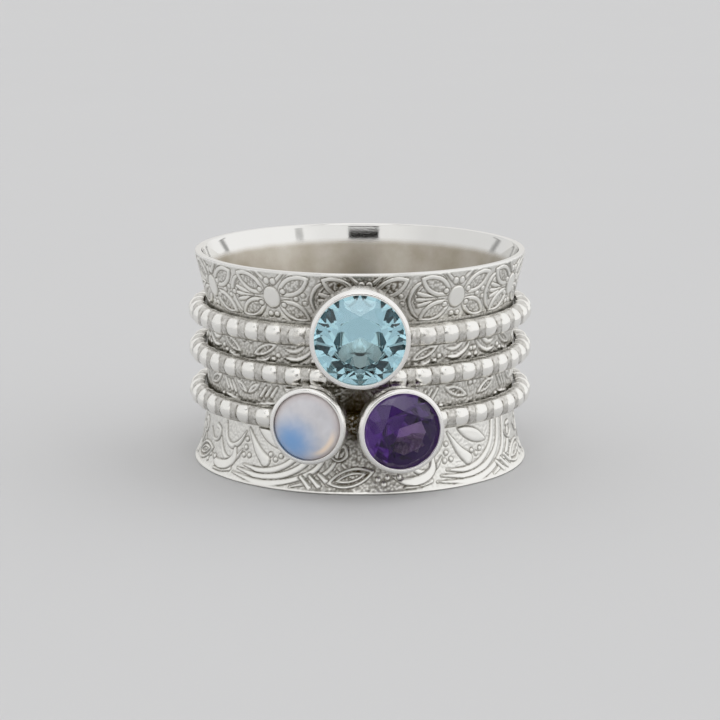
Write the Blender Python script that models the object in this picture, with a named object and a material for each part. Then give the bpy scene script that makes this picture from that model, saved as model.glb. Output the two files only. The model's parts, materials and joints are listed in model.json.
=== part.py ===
"""Wide flared silver ring with three turning beaded wires that carry three bezel-set stones.

The ring lies on its lower rim, its axis vertical. The front, where the stones sit, faces -Y,
and azimuths are counted from there, positive towards +X. Everything is in metres.
"""

from math import cos, pi, radians, sin, sqrt

import bmesh
import bpy
from mathutils import Vector
from mathutils.geometry import delaunay_2d_cdt

MM = 0.001

# Wide band
BORE_RADIUS = 9.20 * MM
CHANNEL_WALL = 0.93 * MM
TOP_FLARE = 1.70 * MM
BOTTOM_FLARE = 1.94 * MM
RIM_WALL = 0.40 * MM
RIM_CHAMFER = 0.12 * MM
UPPER_FLARE_HEIGHT = 4.00 * MM
LOWER_FLARE_HEIGHT = 4.60 * MM
SHOULDER_HEIGHT = 0.80 * MM
INNER_FLARE_START = 0.60 * MM
INNER_FLARE_POWER = 1.3
LIP_SHARE = 0.45
LIP_POWER = 6
BAND_COLUMNS = 60

# Raised ornament of the band
RELIEF = 0.12 * MM
RELIEF_SLOPE = 0.13 * MM
PLAIN_RIM = 0.42 * MM
FLOWERS = 11
FRONT_FLOWER_PITCH = 33.6
FRONT_FLOWER_AZIMUTH = 1.75
SCROLLS = 5
FRONT_SCROLL_PITCH = 76.5
SCROLL_SEAM_COLUMNS = 5

# Beaded wires
BEAD_RADIUS = 0.70 * MM
NECK_RADIUS = 0.63 * MM
WIRE_BACK = 0.30 * MM
BEADS = 42
CREST_SHARE = 0.40
WIRE_SIDES = 10
RUN_GAP = 0.25 * MM
MIDDLE_WIRE_LIFT = 0.15 * MM
BEAD_PHASES = {"top": -3.46, "middle": 3.66, "bottom": 0.95}

# Settings
OVERHANG_GAP = 0.30 * MM
SETTING_GAP = 0.20 * MM
STONE_GAP = 0.05 * MM
LIP_THICKNESS = 0.20 * MM
LIP_OVERLAP = 0.06 * MM
LIP_CHAMFER = 0.07 * MM
BEZEL_WALL = 0.15 * MM
SADDLE_LENGTH = 4.40 * MM
SADDLE_WIDTH = 0.90 * MM
SADDLE_BITE = 0.15 * MM
SETTING_SEGMENTS = 32

# Stones: radius at the girdle, azimuth of the setting and height of the setting's wall
TOPAZ_RADIUS = 2.86 * MM
TOPAZ_AZIMUTH = 0.0
TOPAZ_SETTING_HEIGHT = 1.82 * MM
TOPAZ_CROWN = 0.75 * MM
TOPAZ_PAVILION = 2.10 * MM
TOPAZ_LIFT = 0.35 * MM

AMETHYST_RADIUS = 2.48 * MM
AMETHYST_AZIMUTH = 12.0
AMETHYST_SETTING_HEIGHT = 1.00 * MM
AMETHYST_CROWN = 0.62 * MM
AMETHYST_PAVILION = 1.65 * MM
AMETHYST_DROP = 0.17 * MM

MOONSTONE_RADIUS = 2.21 * MM
MOONSTONE_AZIMUTH = -15.1
MOONSTONE_SETTING_HEIGHT = 1.00 * MM
MOONSTONE_DOME = 0.97 * MM
MOONSTONE_BASE = 0.27 * MM

GIRDLE = 0.06 * MM
TABLE_SHARE = 0.56
STAR_SHARE = 0.77
LOWER_HALF_SHARE = 0.22
CABOCHON_SEGMENTS = 24
CABOCHON_RINGS = 5

# Heights and radii that follow from the sizes above
TOP_RIM_RADIUS = BORE_RADIUS + TOP_FLARE
BOTTOM_RIM_RADIUS = BORE_RADIUS + BOTTOM_FLARE
CHANNEL_RADIUS = BORE_RADIUS + CHANNEL_WALL
WIRE_RADIUS = CHANNEL_RADIUS + RUN_GAP + WIRE_BACK
CREST_RADIUS = WIRE_RADIUS + BEAD_RADIUS
SETTING_BASE = CREST_RADIUS + OVERHANG_GAP

BOTTOM_WIRE_Z = LOWER_FLARE_HEIGHT
AMETHYST_Z = BOTTOM_WIRE_Z - AMETHYST_DROP
LOWER_SETTINGS_TOP = AMETHYST_Z + AMETHYST_RADIUS + STONE_GAP + BEZEL_WALL
MOONSTONE_Z = LOWER_SETTINGS_TOP - MOONSTONE_RADIUS - STONE_GAP - BEZEL_WALL
TOPAZ_Z = LOWER_SETTINGS_TOP + SETTING_GAP + TOPAZ_RADIUS + STONE_GAP + BEZEL_WALL
TOP_WIRE_Z = TOPAZ_Z - TOPAZ_LIFT
MIDDLE_WIRE_Z = (TOP_WIRE_Z + BOTTOM_WIRE_Z) / 2 + MIDDLE_WIRE_LIFT
BAND_WIDTH = TOP_WIRE_Z + UPPER_FLARE_HEIGHT

# The ring's axis stands behind the middle of the whole, because the stones reach forward
TOPAZ_TABLE = SETTING_BASE + TOPAZ_SETTING_HEIGHT - LIP_THICKNESS - 2 * STONE_GAP + TOPAZ_CROWN
AXIS_Y = (TOPAZ_TABLE - CREST_RADIUS) / 2

UPPER_SHOULDER_Z = TOP_WIRE_Z + SHOULDER_HEIGHT
LOWER_SHOULDER_Z = BOTTOM_WIRE_Z - SHOULDER_HEIGHT


def clear_scene():
    """Remove whatever objects the file holds."""
    for thing in list(bpy.data.objects):
        bpy.data.objects.remove(thing, do_unlink=True)


def material(name, colour, roughness, metallic, transmission=0.0, ior=1.45):
    """A Principled material with the piece's own colour and gloss."""
    made = bpy.data.materials.new(name)
    made.use_nodes = True
    shader = made.node_tree.nodes["Principled BSDF"]
    shader.inputs["Base Color"].default_value = (*colour, 1.0)
    shader.inputs["Roughness"].default_value = roughness
    shader.inputs["Metallic"].default_value = metallic
    shader.inputs["Transmission Weight"].default_value = transmission
    shader.inputs["IOR"].default_value = ior
    made.diffuse_color = (*colour, 1.0)
    return made


def add_object(name, mesh, location, paint, parent=None, turn=0.0, facing_out=False):
    """Place a mesh as a named object; facing_out turns its +Z to point away from the axis."""
    thing = bpy.data.objects.new(name, mesh)
    bpy.context.scene.collection.objects.link(thing)
    thing.location = location
    thing.rotation_euler = (pi / 2 if facing_out else 0.0, 0.0, turn)
    thing.parent = parent
    if paint:
        mesh.materials.append(paint)
    return thing


def finish_mesh(bm, name, crease=35.0):
    """Close a bmesh into a mesh whose faces point out, smooth but for its sharp edges."""
    bmesh.ops.recalc_face_normals(bm, faces=bm.faces)
    mesh = bpy.data.meshes.new(name)
    bm.to_mesh(mesh)
    bm.free()
    mesh.shade_smooth()
    mesh.set_sharp_from_angle(angle=radians(crease))
    return mesh


def bridge_rows(bm, rows, closed=True):
    """Fill quads between rows of vertices, round each row and, if closed, last row to first."""
    pairs = list(zip(rows, rows[1:]))
    if closed:
        pairs.append((rows[-1], rows[0]))
    for lower, upper in pairs:
        count = len(lower)
        for k in range(count):
            after = (k + 1) % count
            bm.faces.new((lower[k], lower[after], upper[after], upper[k]))


def turned_mesh(name, profile, segments, offset=0.0):
    """Spin a profile of (radius, height) points about Z; points on the axis close its ends.

    An offset of half a segment keeps a solid's edges clear of those that are cut into it.
    """
    bm = bmesh.new()
    rows = []
    for radius, height in profile:
        if radius == 0.0:
            rows.append([bm.verts.new((0.0, 0.0, height))])
            continue
        angles = [2 * pi * (k + offset) / segments for k in range(segments)]
        rows.append([bm.verts.new((radius * cos(a), radius * sin(a), height)) for a in angles])
    for lower, upper in zip(rows, rows[1:]):
        for k in range(segments):
            after = (k + 1) % segments
            ring = [lower[k % len(lower)], lower[after % len(lower)]]
            ring += [upper[after % len(upper)], upper[k % len(upper)]]
            bm.faces.new(list(dict.fromkeys(ring)))
    return finish_mesh(bm, name)


# Band profile


def outer_radius(z):
    """Outer radius of the band: a straight channel for the wires between two flares."""
    if z > UPPER_SHOULDER_Z:
        part = (z - UPPER_SHOULDER_Z) / (BAND_WIDTH - UPPER_SHOULDER_Z)
        return CHANNEL_RADIUS + (TOP_RIM_RADIUS - CHANNEL_RADIUS) * part
    if z >= LOWER_SHOULDER_Z:
        return CHANNEL_RADIUS
    part = (LOWER_SHOULDER_Z - z) / LOWER_SHOULDER_Z
    rise = (1 - LIP_SHARE) * part + LIP_SHARE * part ** LIP_POWER
    return CHANNEL_RADIUS + (BOTTOM_RIM_RADIUS - CHANNEL_RADIUS) * rise


def inner_radius(z):
    """Inner radius of the band: a plain bore that opens towards both rims."""
    upper_start = TOP_WIRE_Z - INNER_FLARE_START
    lower_start = BOTTOM_WIRE_Z + INNER_FLARE_START
    if z > upper_start:
        part = (z - upper_start) / (BAND_WIDTH - upper_start)
        rim = TOP_RIM_RADIUS
    elif z < lower_start:
        part = (lower_start - z) / lower_start
        rim = BOTTOM_RIM_RADIUS
    else:
        return BORE_RADIUS
    return BORE_RADIUS + (rim - RIM_WALL - BORE_RADIUS) * part ** INNER_FLARE_POWER


# Ornament, drawn flat: x runs round the band, y up it


CHART_RADIUS = (TOP_RIM_RADIUS + CHANNEL_RADIUS) / 2
COLUMN = 360.0 / BAND_COLUMNS


def chart_x(azimuth):
    """Where an azimuth in degrees lies on the flat drawing."""
    return radians(azimuth) * CHART_RADIUS


def spread_azimuths(front, pitch, fronts, count):
    """Azimuths of a repeat: some at the front at one pitch, the rest spaced evenly behind."""
    first = front - pitch * (fronts - 1) / 2
    ahead = [first + pitch * k for k in range(fronts)]
    rest = (360.0 - pitch * (fronts - 1)) / (count - fronts + 1)
    return ahead + [ahead[-1] + rest * (k + 1) for k in range(count - fronts)]


def lens_outline(start, tip, width, points=2):
    """A pointed leaf from start to tip, as two arcs."""
    along = tip - start
    side = Vector((-along.y, along.x)).normalized() * width / 2
    steps = [(k + 1) / (points + 1) for k in range(points)]
    swell = [sin(pi * s) / sin(pi * 0.4) for s in steps]
    left = [start + along * s + side * w for s, w in zip(steps, swell)]
    right = [start + along * s - side * w for s, w in zip(steps, swell)]
    return [start, *left, tip, *reversed(right)]


def oval_outline(centre, width, height, points=8):
    """An oval with evenly turned points."""
    turns = [2 * pi * (k + 0.5) / points for k in range(points)]
    return [centre + Vector((width / 2 * cos(t), height / 2 * sin(t))) for t in turns]


def teardrop_outline(point, foot, width, points=4):
    """A drop that swells from its point towards its round foot."""
    along = foot - point
    side = Vector((-along.y, along.x)).normalized() * width / 2
    steps = [sin(pi / 2 * (k + 1) / (points + 1)) for k in range(points)]
    swell = [1.3 * s ** 0.7 * sqrt(1 - s ** 4) for s in steps]
    left = [point + along * s + side * w for s, w in zip(steps, swell)]
    right = [point + along * s - side * w for s, w in zip(steps, swell)]
    return [point, *left, foot, *reversed(right)]


def ribbon_outline(centre, reach, start, end, width, points=5):
    """A pointed ribbon along an oval arc; reach holds its half width and half height."""
    outer = []
    inner = []
    for k in range(points):
        s = (k + 1) / (points + 1)
        turn = radians(start + (end - start) * s)
        half = width / 2 * sqrt(sin(pi * s))
        for side, offset in ((outer, half), (inner, -half)):
            spot = Vector(((reach.x + offset) * cos(turn), (reach.y + offset) * sin(turn)))
            side.append(centre + spot)
    tips = []
    for turn in (radians(start), radians(end)):
        tips.append(centre + Vector((reach.x * cos(turn), reach.y * sin(turn))))
    return [tips[0], *outer, tips[1], *reversed(inner)]


# A flower's parts, as shares of half its pitch across and of the upper zone's height up
PETALS = [
    {"start": (0.17, 0.13), "tip": (0.93, 0.40)},
    {"start": (-0.17, 0.13), "tip": (-0.93, 0.40)},
    {"start": (0.17, -0.13), "tip": (0.93, -0.40)},
    {"start": (-0.17, -0.13), "tip": (-0.93, -0.40)},
]
PETAL_WIDTH_SHARE = 0.34
DISC_SHARE = 0.42
FLOWER_HEIGHT_SHARE = 0.48

# A scroll's parts, as shares of its half width across and of the lower zone's height up
DROP = {"point": (-0.11, 0.86), "foot": (0.09, 0.32), "width": 0.22}
LEAVES = [
    {"start": (0.04, 0.90), "tip": (0.34, 0.52), "width": 0.22},
    {"start": (0.70, 0.10), "tip": (1.10, 0.14), "width": 0.26},
    {"start": (-0.70, 0.14), "tip": (-0.36, 0.52), "width": 0.20},
]
RIBBONS = [
    {"centre": (-0.05, 0.96), "reach": (0.54, 0.76), "turn": (-112.0, -14.0)},
    {"centre": (-0.05, 0.96), "reach": (0.66, 0.90), "turn": (-112.0, -14.0)},
]
RIBBON_WIDTH_SHARE = 0.085


def flower_outlines(azimuth):
    """The outlines of one flower: a round middle and four long petals."""
    zone = BAND_WIDTH - PLAIN_RIM - UPPER_SHOULDER_Z
    half = chart_x(360.0 / FLOWERS) / 2
    centre = Vector((chart_x(azimuth), UPPER_SHOULDER_Z + zone * FLOWER_HEIGHT_SHARE))
    size = Vector((half, zone))
    outlines = [oval_outline(centre, zone * DISC_SHARE, zone * DISC_SHARE)]
    for petal in PETALS:
        start = centre + Vector(petal["start"]) * size
        tip = centre + Vector(petal["tip"]) * size
        outlines.append(lens_outline(start, tip, zone * PETAL_WIDTH_SHARE))
    return outlines


def scroll_outlines(azimuth):
    """The outlines of one scroll: a drop, leaves beside it and ribbons sweeping below."""
    zone = LOWER_SHOULDER_Z - PLAIN_RIM
    corner = Vector((chart_x(azimuth), PLAIN_RIM))
    size = Vector((chart_x(360.0 / SCROLLS) / 2, zone))

    def spot(shares):
        return corner + Vector(shares) * size

    outlines = [
        teardrop_outline(spot(DROP["point"]), spot(DROP["foot"]), zone * DROP["width"]),
    ]
    for leaf in LEAVES:
        outlines.append(lens_outline(spot(leaf["start"]), spot(leaf["tip"]), zone * leaf["width"]))
    for ribbon in RIBBONS:
        reach = Vector(ribbon["reach"]) * size
        width = zone * RIBBON_WIDTH_SHARE
        outlines.append(ribbon_outline(spot(ribbon["centre"]), reach, *ribbon["turn"], width))
    return outlines


def inset_outline(outline, slope):
    """The same outline drawn in by the width of its sloping edge."""
    count = len(outline)
    drawn = []
    for k, point in enumerate(outline):
        before = (point - outline[k - 1]).normalized()
        after = (outline[(k + 1) % count] - point).normalized()
        inward = Vector((-before.y - after.y, before.x + after.x))
        drawn.append(point + inward.normalized() * slope / max(inward.length / 2, 0.45))
    return drawn


def counterclockwise(outline):
    """The outline with its points in counterclockwise order."""
    area = 0.0
    for k, point in enumerate(outline):
        area += outline[k - 1].cross(point)
    return outline if area > 0 else outline[::-1]


def near_outline(point, outlines, margin):
    """Whether a point lies in an outline or within a margin of it."""
    for outline in outlines:
        inside = False
        for k, b in enumerate(outline):
            a = outline[k - 1]
            if (a.y > point.y) != (b.y > point.y):
                crossing = a.x + (point.y - a.y) * (b.x - a.x) / (b.y - a.y)
                inside = inside != (point.x < crossing)
            along = b - a
            share = min(max((point - a).dot(along) / along.length_squared, 0.0), 1.0)
            if (a + along * share - point).length < margin:
                return True
        if inside:
            return True
    return False


def band_spot(azimuth, radius, z):
    """A point of the band, from its azimuth in degrees."""
    turn = radians(azimuth)
    return Vector((radius * sin(turn), -radius * cos(turn), z))


def add_ornament(bm, rows, seam, azimuths, draw):
    """Wrap a raised drawing round the band, joined up at its seam's azimuth."""
    outlines = []
    for azimuth in azimuths:
        drawn = draw((azimuth - seam) % 360.0 + seam)
        outlines += [counterclockwise(outline) for outline in drawn]
    points = []
    heights = []
    edges = []
    for z in rows:
        for k in range(BAND_COLUMNS + 1):
            spot = Vector((chart_x(seam + COLUMN * k), z))
            at_border = z in (rows[0], rows[-1]) or k in (0, BAND_COLUMNS)
            if at_border or not near_outline(spot, outlines, 2 * RELIEF_SLOPE):
                points.append(spot)
                heights.append(0.0)
    for outline in outlines:
        for ring, height in ((outline, 0.0), (inset_outline(outline, RELIEF_SLOPE), RELIEF)):
            first = len(points)
            points += ring
            heights += [height] * len(ring)
            edges += [(first + k, first + (k + 1) % len(ring)) for k in range(len(ring))]
    drawn = delaunay_2d_cdt(points, edges, [], 0, 0.00001 * MM)
    flat, faces, origins = drawn[0], drawn[2], drawn[3]
    folded = []
    for point, origin in zip(flat, origins):
        relief = max((heights[k] for k in origin), default=0.0)
        azimuth = point.x / chart_x(1.0)
        spot = band_spot(azimuth, outer_radius(point.y) + relief, point.y)
        folded.append(bm.verts.new(spot))
    for face in faces:
        bm.faces.new([folded[k] for k in face])


def even_rows(start, end, steps):
    """Evenly spaced heights from start to end."""
    return [start + (end - start) * k / steps for k in range(steps + 1)]


def band_mesh():
    """The wide band: raised ornament on both flares, a channel between and a plain inside."""
    bm = bmesh.new()
    seam = FRONT_FLOWER_AZIMUTH + 180.0
    upper_rows = even_rows(UPPER_SHOULDER_Z, BAND_WIDTH - PLAIN_RIM, 3)
    upper_rows.append(BAND_WIDTH - RIM_CHAMFER)
    flowers = spread_azimuths(FRONT_FLOWER_AZIMUTH, FRONT_FLOWER_PITCH, 3, FLOWERS)
    add_ornament(bm, upper_rows, seam, flowers, flower_outlines)

    lower_rows = [RIM_CHAMFER] + even_rows(PLAIN_RIM, LOWER_SHOULDER_Z, 3)
    scrolls = spread_azimuths(0.0, FRONT_SCROLL_PITCH, 2, SCROLLS)
    lower_seam = seam - COLUMN * SCROLL_SEAM_COLUMNS
    add_ornament(bm, lower_rows, lower_seam, scrolls, scroll_outlines)

    channel = even_rows(UPPER_SHOULDER_Z, LOWER_SHOULDER_Z, 3)
    inside = even_rows(BAND_WIDTH - RIM_CHAMFER, TOP_WIRE_Z - INNER_FLARE_START, 3)
    inside += even_rows(BOTTOM_WIRE_Z + INNER_FLARE_START, RIM_CHAMFER, 3)
    around = [(outer_radius(upper_rows[-1]), upper_rows[-1])]
    around.append((TOP_RIM_RADIUS - RIM_CHAMFER, BAND_WIDTH))
    around.append((TOP_RIM_RADIUS - RIM_WALL + RIM_CHAMFER, BAND_WIDTH))
    around += [(inner_radius(z), z) for z in inside]
    around.append((BOTTOM_RIM_RADIUS - RIM_WALL + RIM_CHAMFER, 0.0))
    around.append((BOTTOM_RIM_RADIUS - RIM_CHAMFER, 0.0))
    around.append((outer_radius(RIM_CHAMFER), RIM_CHAMFER))
    for path in ([(outer_radius(z), z) for z in channel], around):
        rows = []
        for radius, z in path:
            azimuths = [seam + COLUMN * k for k in range(BAND_COLUMNS)]
            rows.append([bm.verts.new(band_spot(a, radius, z)) for a in azimuths])
        bridge_rows(bm, rows, closed=False)
    bmesh.ops.remove_doubles(bm, verts=bm.verts, dist=0.001 * MM)
    return finish_mesh(bm, "wide_band", crease=25.0)


# Beaded wires and settings


def beaded_wire_mesh(name, phase):
    """A flat-backed wire of beads, bent to a ring about Z at its own height."""
    pitch = 2 * pi / BEADS
    crest = pitch * CREST_SHARE / 2
    bm = bmesh.new()
    rows = []
    for bead in range(BEADS):
        middle = radians(phase) + pitch * bead
        stations = (
            (middle - pitch / 2, NECK_RADIUS),
            (middle - crest, BEAD_RADIUS),
            (middle + crest, BEAD_RADIUS),
        )
        for azimuth, section in stations:
            row = []
            for k in range(WIRE_SIDES):
                turn = 2 * pi * k / WIRE_SIDES
                radius = WIRE_RADIUS + max(section * cos(turn), -WIRE_BACK)
                spot = (radius * sin(azimuth), -radius * cos(azimuth), section * sin(turn))
                row.append(bm.verts.new(spot))
            rows.append(row)
    bridge_rows(bm, rows)
    return finish_mesh(bm, name)


def combine(target, helper, operation):
    """Join a helper to a solid or cut it away, and keep the helper out of sight."""
    helper.hide_render = True
    helper.display_type = "WIRE"
    change = target.modifiers.new(helper.name, "BOOLEAN")
    change.operation = operation
    change.solver = "EXACT"
    change.object = helper


def add_setting(wire, stone, wire_z):
    """Solder a bezel cup on a wire: a drum on a narrow saddle, hollowed for its stone."""
    outer = stone["radius"] + STONE_GAP + BEZEL_WALL
    face = SETTING_BASE + stone["setting_height"]
    place = {"location": (0.0, 0.0, stone["z"] - wire_z), "paint": None, "parent": wire}
    turned = {"turn": radians(stone["azimuth"]), "facing_out": True}
    drum = [
        (0.0, SETTING_BASE),
        (outer, SETTING_BASE),
        (outer, face - LIP_CHAMFER),
        (outer - LIP_CHAMFER, face),
        (0.0, face),
    ]
    drum_mesh = turned_mesh(stone["name"] + "_drum", drum, SETTING_SEGMENTS, offset=0.5)
    combine(wire, add_object(stone["name"] + "_drum", drum_mesh, **place, **turned), "UNION")

    bm = bmesh.new()
    bmesh.ops.create_cube(bm, size=1.0)
    depth = SETTING_BASE + SADDLE_BITE - WIRE_RADIUS
    for vert in bm.verts:
        vert.co.x *= SADDLE_LENGTH
        vert.co.y = vert.co.y * SADDLE_WIDTH + wire_z - stone["z"]
        vert.co.z = WIRE_RADIUS + depth * (vert.co.z + 0.5)
    saddle_mesh = finish_mesh(bm, stone["name"] + "_saddle")
    combine(wire, add_object(stone["name"] + "_saddle", saddle_mesh, **place, **turned), "UNION")
    return face, place, turned


def hollow_setting(wire, stone, hollow, face, place, turned):
    """Cut the cup's seat, and its mouth inside the burnished lip."""
    mouth = stone["radius"] - LIP_OVERLAP
    profile = hollow + [
        (stone["radius"] + STONE_GAP, face - LIP_THICKNESS),
        (mouth, face - LIP_THICKNESS),
        (mouth, face + LIP_THICKNESS),
        (0.0, face + LIP_THICKNESS),
    ]
    mesh = turned_mesh(stone["name"] + "_seat", profile, SETTING_SEGMENTS)
    combine(wire, add_object(stone["name"] + "_seat", mesh, **place, **turned), "DIFFERENCE")


# Stones


def brilliant_mesh(name, radius, crown, pavilion):
    """A round brilliant: table, stars, kites, girdle facets and a pointed pavilion."""
    bm = bmesh.new()
    table = radius * TABLE_SHARE
    star = radius * STAR_SHARE
    lower = radius * LOWER_HALF_SHARE
    half_step = cos(pi / 8)
    star_z = crown * (radius - star * half_step) / (radius - table)
    lower_z = -pavilion * (radius - lower * half_step) / radius

    def ring(size, height, count, offset):
        turns = [2 * pi * (k + offset) / count for k in range(count)]
        return [bm.verts.new((size * cos(t), size * sin(t), height)) for t in turns]

    tables = ring(table, crown, 8, 0.0)
    stars = ring(star, star_z, 8, 0.5)
    upper = ring(radius, 0.0, 16, 0.0)
    under = ring(radius, -GIRDLE, 16, 0.0)
    lowers = ring(lower, lower_z - GIRDLE, 8, 0.5)
    culet = bm.verts.new((0.0, 0.0, -pavilion - GIRDLE))
    bm.faces.new(tables)
    for k in range(8):
        before, after = k - 1, (k + 1) % 8
        main, side, next_main = 2 * k, 2 * k + 1, (2 * k + 2) % 16
        bm.faces.new((tables[k], stars[k], tables[after]))
        bm.faces.new((tables[k], stars[before], upper[main], stars[k]))
        bm.faces.new((stars[k], upper[main], upper[side]))
        bm.faces.new((stars[k], upper[side], upper[next_main]))
        bm.faces.new((upper[main], under[main], under[side], upper[side]))
        bm.faces.new((upper[side], under[side], under[next_main], upper[next_main]))
        bm.faces.new((lowers[k], under[side], under[main]))
        bm.faces.new((lowers[k], under[next_main], under[side]))
        bm.faces.new((culet, lowers[k], under[main], lowers[before]))
    return finish_mesh(bm, name, crease=1.0)


def cabochon_mesh(name, radius, dome, base):
    """A domed stone with a flat back and a short upright girdle."""
    profile = [(0.0, -base), (radius, -base)]
    for k in range(CABOCHON_RINGS):
        turn = pi / 2 * k / CABOCHON_RINGS
        profile.append((radius * cos(turn), dome * sin(turn)))
    profile.append((0.0, dome))
    return turned_mesh(name, profile, CABOCHON_SEGMENTS)


def add_stone(wire, stone, paint, place, turned, height, mesh):
    """Set a stone in its cup, its girdle at the given distance from the ring's axis."""
    azimuth = radians(stone["azimuth"])
    spot = (height * sin(azimuth), -height * cos(azimuth), place["location"][2])
    add_object(stone["name"], mesh, spot, paint, parent=wire, **turned)


def set_brilliant(wire, stone, paint, face, place, turned):
    """Hollow the cup along the pavilion and set a faceted stone in it."""
    girdle = face - LIP_THICKNESS - 2 * STONE_GAP
    reach = stone["radius"] + STONE_GAP
    steep = stone["pavilion"] / stone["radius"]
    below = girdle - GIRDLE - STONE_GAP
    hollow = [(0.0, below - steep * reach), (reach, below)]
    hollow_setting(wire, stone, hollow, face, place, turned)
    mesh = brilliant_mesh(stone["name"], stone["radius"], stone["crown"], stone["pavilion"])
    add_stone(wire, stone, paint, place, turned, girdle, mesh)


def set_cabochon(wire, stone, paint, face, place, turned):
    """Hollow the cup flat and set a domed stone in it."""
    mouth_share = (stone["radius"] - LIP_OVERLAP) / stone["radius"]
    under_lip = stone["dome"] * sqrt(1 - mouth_share ** 2)
    girdle = face - LIP_THICKNESS - STONE_GAP - under_lip
    floor_height = girdle - stone["base"] - STONE_GAP
    hollow = [(0.0, floor_height), (stone["radius"] + STONE_GAP, floor_height)]
    hollow_setting(wire, stone, hollow, face, place, turned)
    mesh = cabochon_mesh(stone["name"], stone["radius"], stone["dome"], stone["base"])
    add_stone(wire, stone, paint, place, turned, girdle, mesh)


TOPAZ = {
    "name": "topaz",
    "radius": TOPAZ_RADIUS,
    "azimuth": TOPAZ_AZIMUTH,
    "z": TOPAZ_Z,
    "setting_height": TOPAZ_SETTING_HEIGHT,
    "crown": TOPAZ_CROWN,
    "pavilion": TOPAZ_PAVILION,
}
AMETHYST = {
    "name": "amethyst",
    "radius": AMETHYST_RADIUS,
    "azimuth": AMETHYST_AZIMUTH,
    "z": AMETHYST_Z,
    "setting_height": AMETHYST_SETTING_HEIGHT,
    "crown": AMETHYST_CROWN,
    "pavilion": AMETHYST_PAVILION,
}
MOONSTONE = {
    "name": "moonstone",
    "radius": MOONSTONE_RADIUS,
    "azimuth": MOONSTONE_AZIMUTH,
    "z": MOONSTONE_Z,
    "setting_height": MOONSTONE_SETTING_HEIGHT,
    "dome": MOONSTONE_DOME,
    "base": MOONSTONE_BASE,
}


def build():
    """Make every piece of the ring."""
    clear_scene()
    silver = material("oxidised_silver", (0.72, 0.71, 0.68), 0.28, 1.0)
    bright = material("bright_silver", (0.86, 0.85, 0.83), 0.18, 1.0)
    paints = {
        "topaz": material("blue_topaz", (0.30, 0.62, 0.74), 0.02, 0.0, 0.9, 1.62),
        "amethyst": material("purple_amethyst", (0.20, 0.07, 0.36), 0.02, 0.0, 0.9, 1.54),
        "moonstone": material("milky_moonstone", (0.74, 0.76, 0.84), 0.08, 0.0, 0.4, 1.52),
    }
    axis = bpy.data.objects.new("ring_axis", None)
    bpy.context.scene.collection.objects.link(axis)
    axis.location = (0.0, AXIS_Y, 0.0)
    add_object("wide_band", band_mesh(), (0.0, 0.0, 0.0), silver, parent=axis)

    wires = {}
    heights = {"top": TOP_WIRE_Z, "middle": MIDDLE_WIRE_Z, "bottom": BOTTOM_WIRE_Z}
    for place, z in heights.items():
        name = place + "_spinner"
        mesh = beaded_wire_mesh(name, BEAD_PHASES[place])
        wires[place] = add_object(name, mesh, (0.0, 0.0, z), bright, parent=axis)

    carried = (
        ("top", TOPAZ, set_brilliant),
        ("bottom", MOONSTONE, set_cabochon),
        ("bottom", AMETHYST, set_brilliant),
    )
    settings = []
    for place, stone, set_stone in carried:
        settings.append(add_setting(wires[place], stone, heights[place]))
    for (place, stone, set_stone), setting in zip(carried, settings):
        set_stone(wires[place], stone, paints[stone["name"]], *setting)


build()
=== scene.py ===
"""Looks of the wide flared ring: an engraved band, three beaded turning wires and three set stones.

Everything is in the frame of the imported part: the ring's axis is vertical, its stones face -Y, and
azimuths are counted in degrees from the front, positive towards +X. Sizes are in millimetres and
become metres as each mesh is made. Drawings on the band are laid flat, x round it and y up it.
"""

import json
from functools import partial
from math import cos, pi, radians, sin, sqrt

import bmesh
import bpy
import numpy as np
from mathutils import Matrix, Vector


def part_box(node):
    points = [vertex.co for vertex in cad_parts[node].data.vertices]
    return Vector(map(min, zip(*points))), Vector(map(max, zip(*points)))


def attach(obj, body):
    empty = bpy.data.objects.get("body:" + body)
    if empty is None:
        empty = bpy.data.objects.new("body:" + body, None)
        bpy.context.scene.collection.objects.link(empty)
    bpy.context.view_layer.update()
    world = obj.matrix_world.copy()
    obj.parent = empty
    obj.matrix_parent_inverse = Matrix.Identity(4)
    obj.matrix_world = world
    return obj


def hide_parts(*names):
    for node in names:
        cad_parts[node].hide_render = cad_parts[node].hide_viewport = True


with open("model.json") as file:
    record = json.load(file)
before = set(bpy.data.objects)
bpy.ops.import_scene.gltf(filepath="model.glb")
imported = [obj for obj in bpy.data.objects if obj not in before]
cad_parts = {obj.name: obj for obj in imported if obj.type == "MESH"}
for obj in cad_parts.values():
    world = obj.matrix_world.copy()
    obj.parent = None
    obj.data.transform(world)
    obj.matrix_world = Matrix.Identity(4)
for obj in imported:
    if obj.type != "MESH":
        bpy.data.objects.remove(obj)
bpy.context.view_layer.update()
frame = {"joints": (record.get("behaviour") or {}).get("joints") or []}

MM = 0.001

# Places that the frame gives
WIRE_Z = {joint["child"]: joint["pos_m"][2] / MM for joint in frame["joints"]}
AXIS_Y = frame["joints"][0]["pos_m"][1]
BAND_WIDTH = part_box("wide_band")[1].z / MM
TOP_WIRE_Z = WIRE_Z["top_ring"]
BOTTOM_WIRE_Z = WIRE_Z["bottom_ring"]

# Band
BORE_RADIUS = 9.20
CHANNEL_WALL = 0.93
TOP_FLARE = 1.70
BOTTOM_FLARE = 1.94
RIM_WALL = 0.40
RIM_ROUNDING = 0.09
RIM_STEPS = 10
RIM_SQUARENESS = 0.7
SHOULDER_HEIGHT = 0.80
INNER_FLARE_START = 0.60
INNER_FLARE_POWER = 1.3
LIP_SHARE = 0.45
LIP_POWER = 6
FLARE_COLUMNS = 1100
CHANNEL_COLUMNS = 900
ROW_STEP = 0.056
CHANNEL_ROW_STEP = 0.09
UPPER_BORE_ROW_STEP = 0.14
PLAIN_ROW_STEP = 0.31
# Painted shade in the bore: past a bright strip by each rim, the inside turns darker and browner deeper
# in
BORE_PAINTED_SHADE = 0.8
BORE_UNSHADED_DEPTH = 0.90
BORE_SHADE_FADE = 0.55
BAND_CREASE = 72

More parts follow.
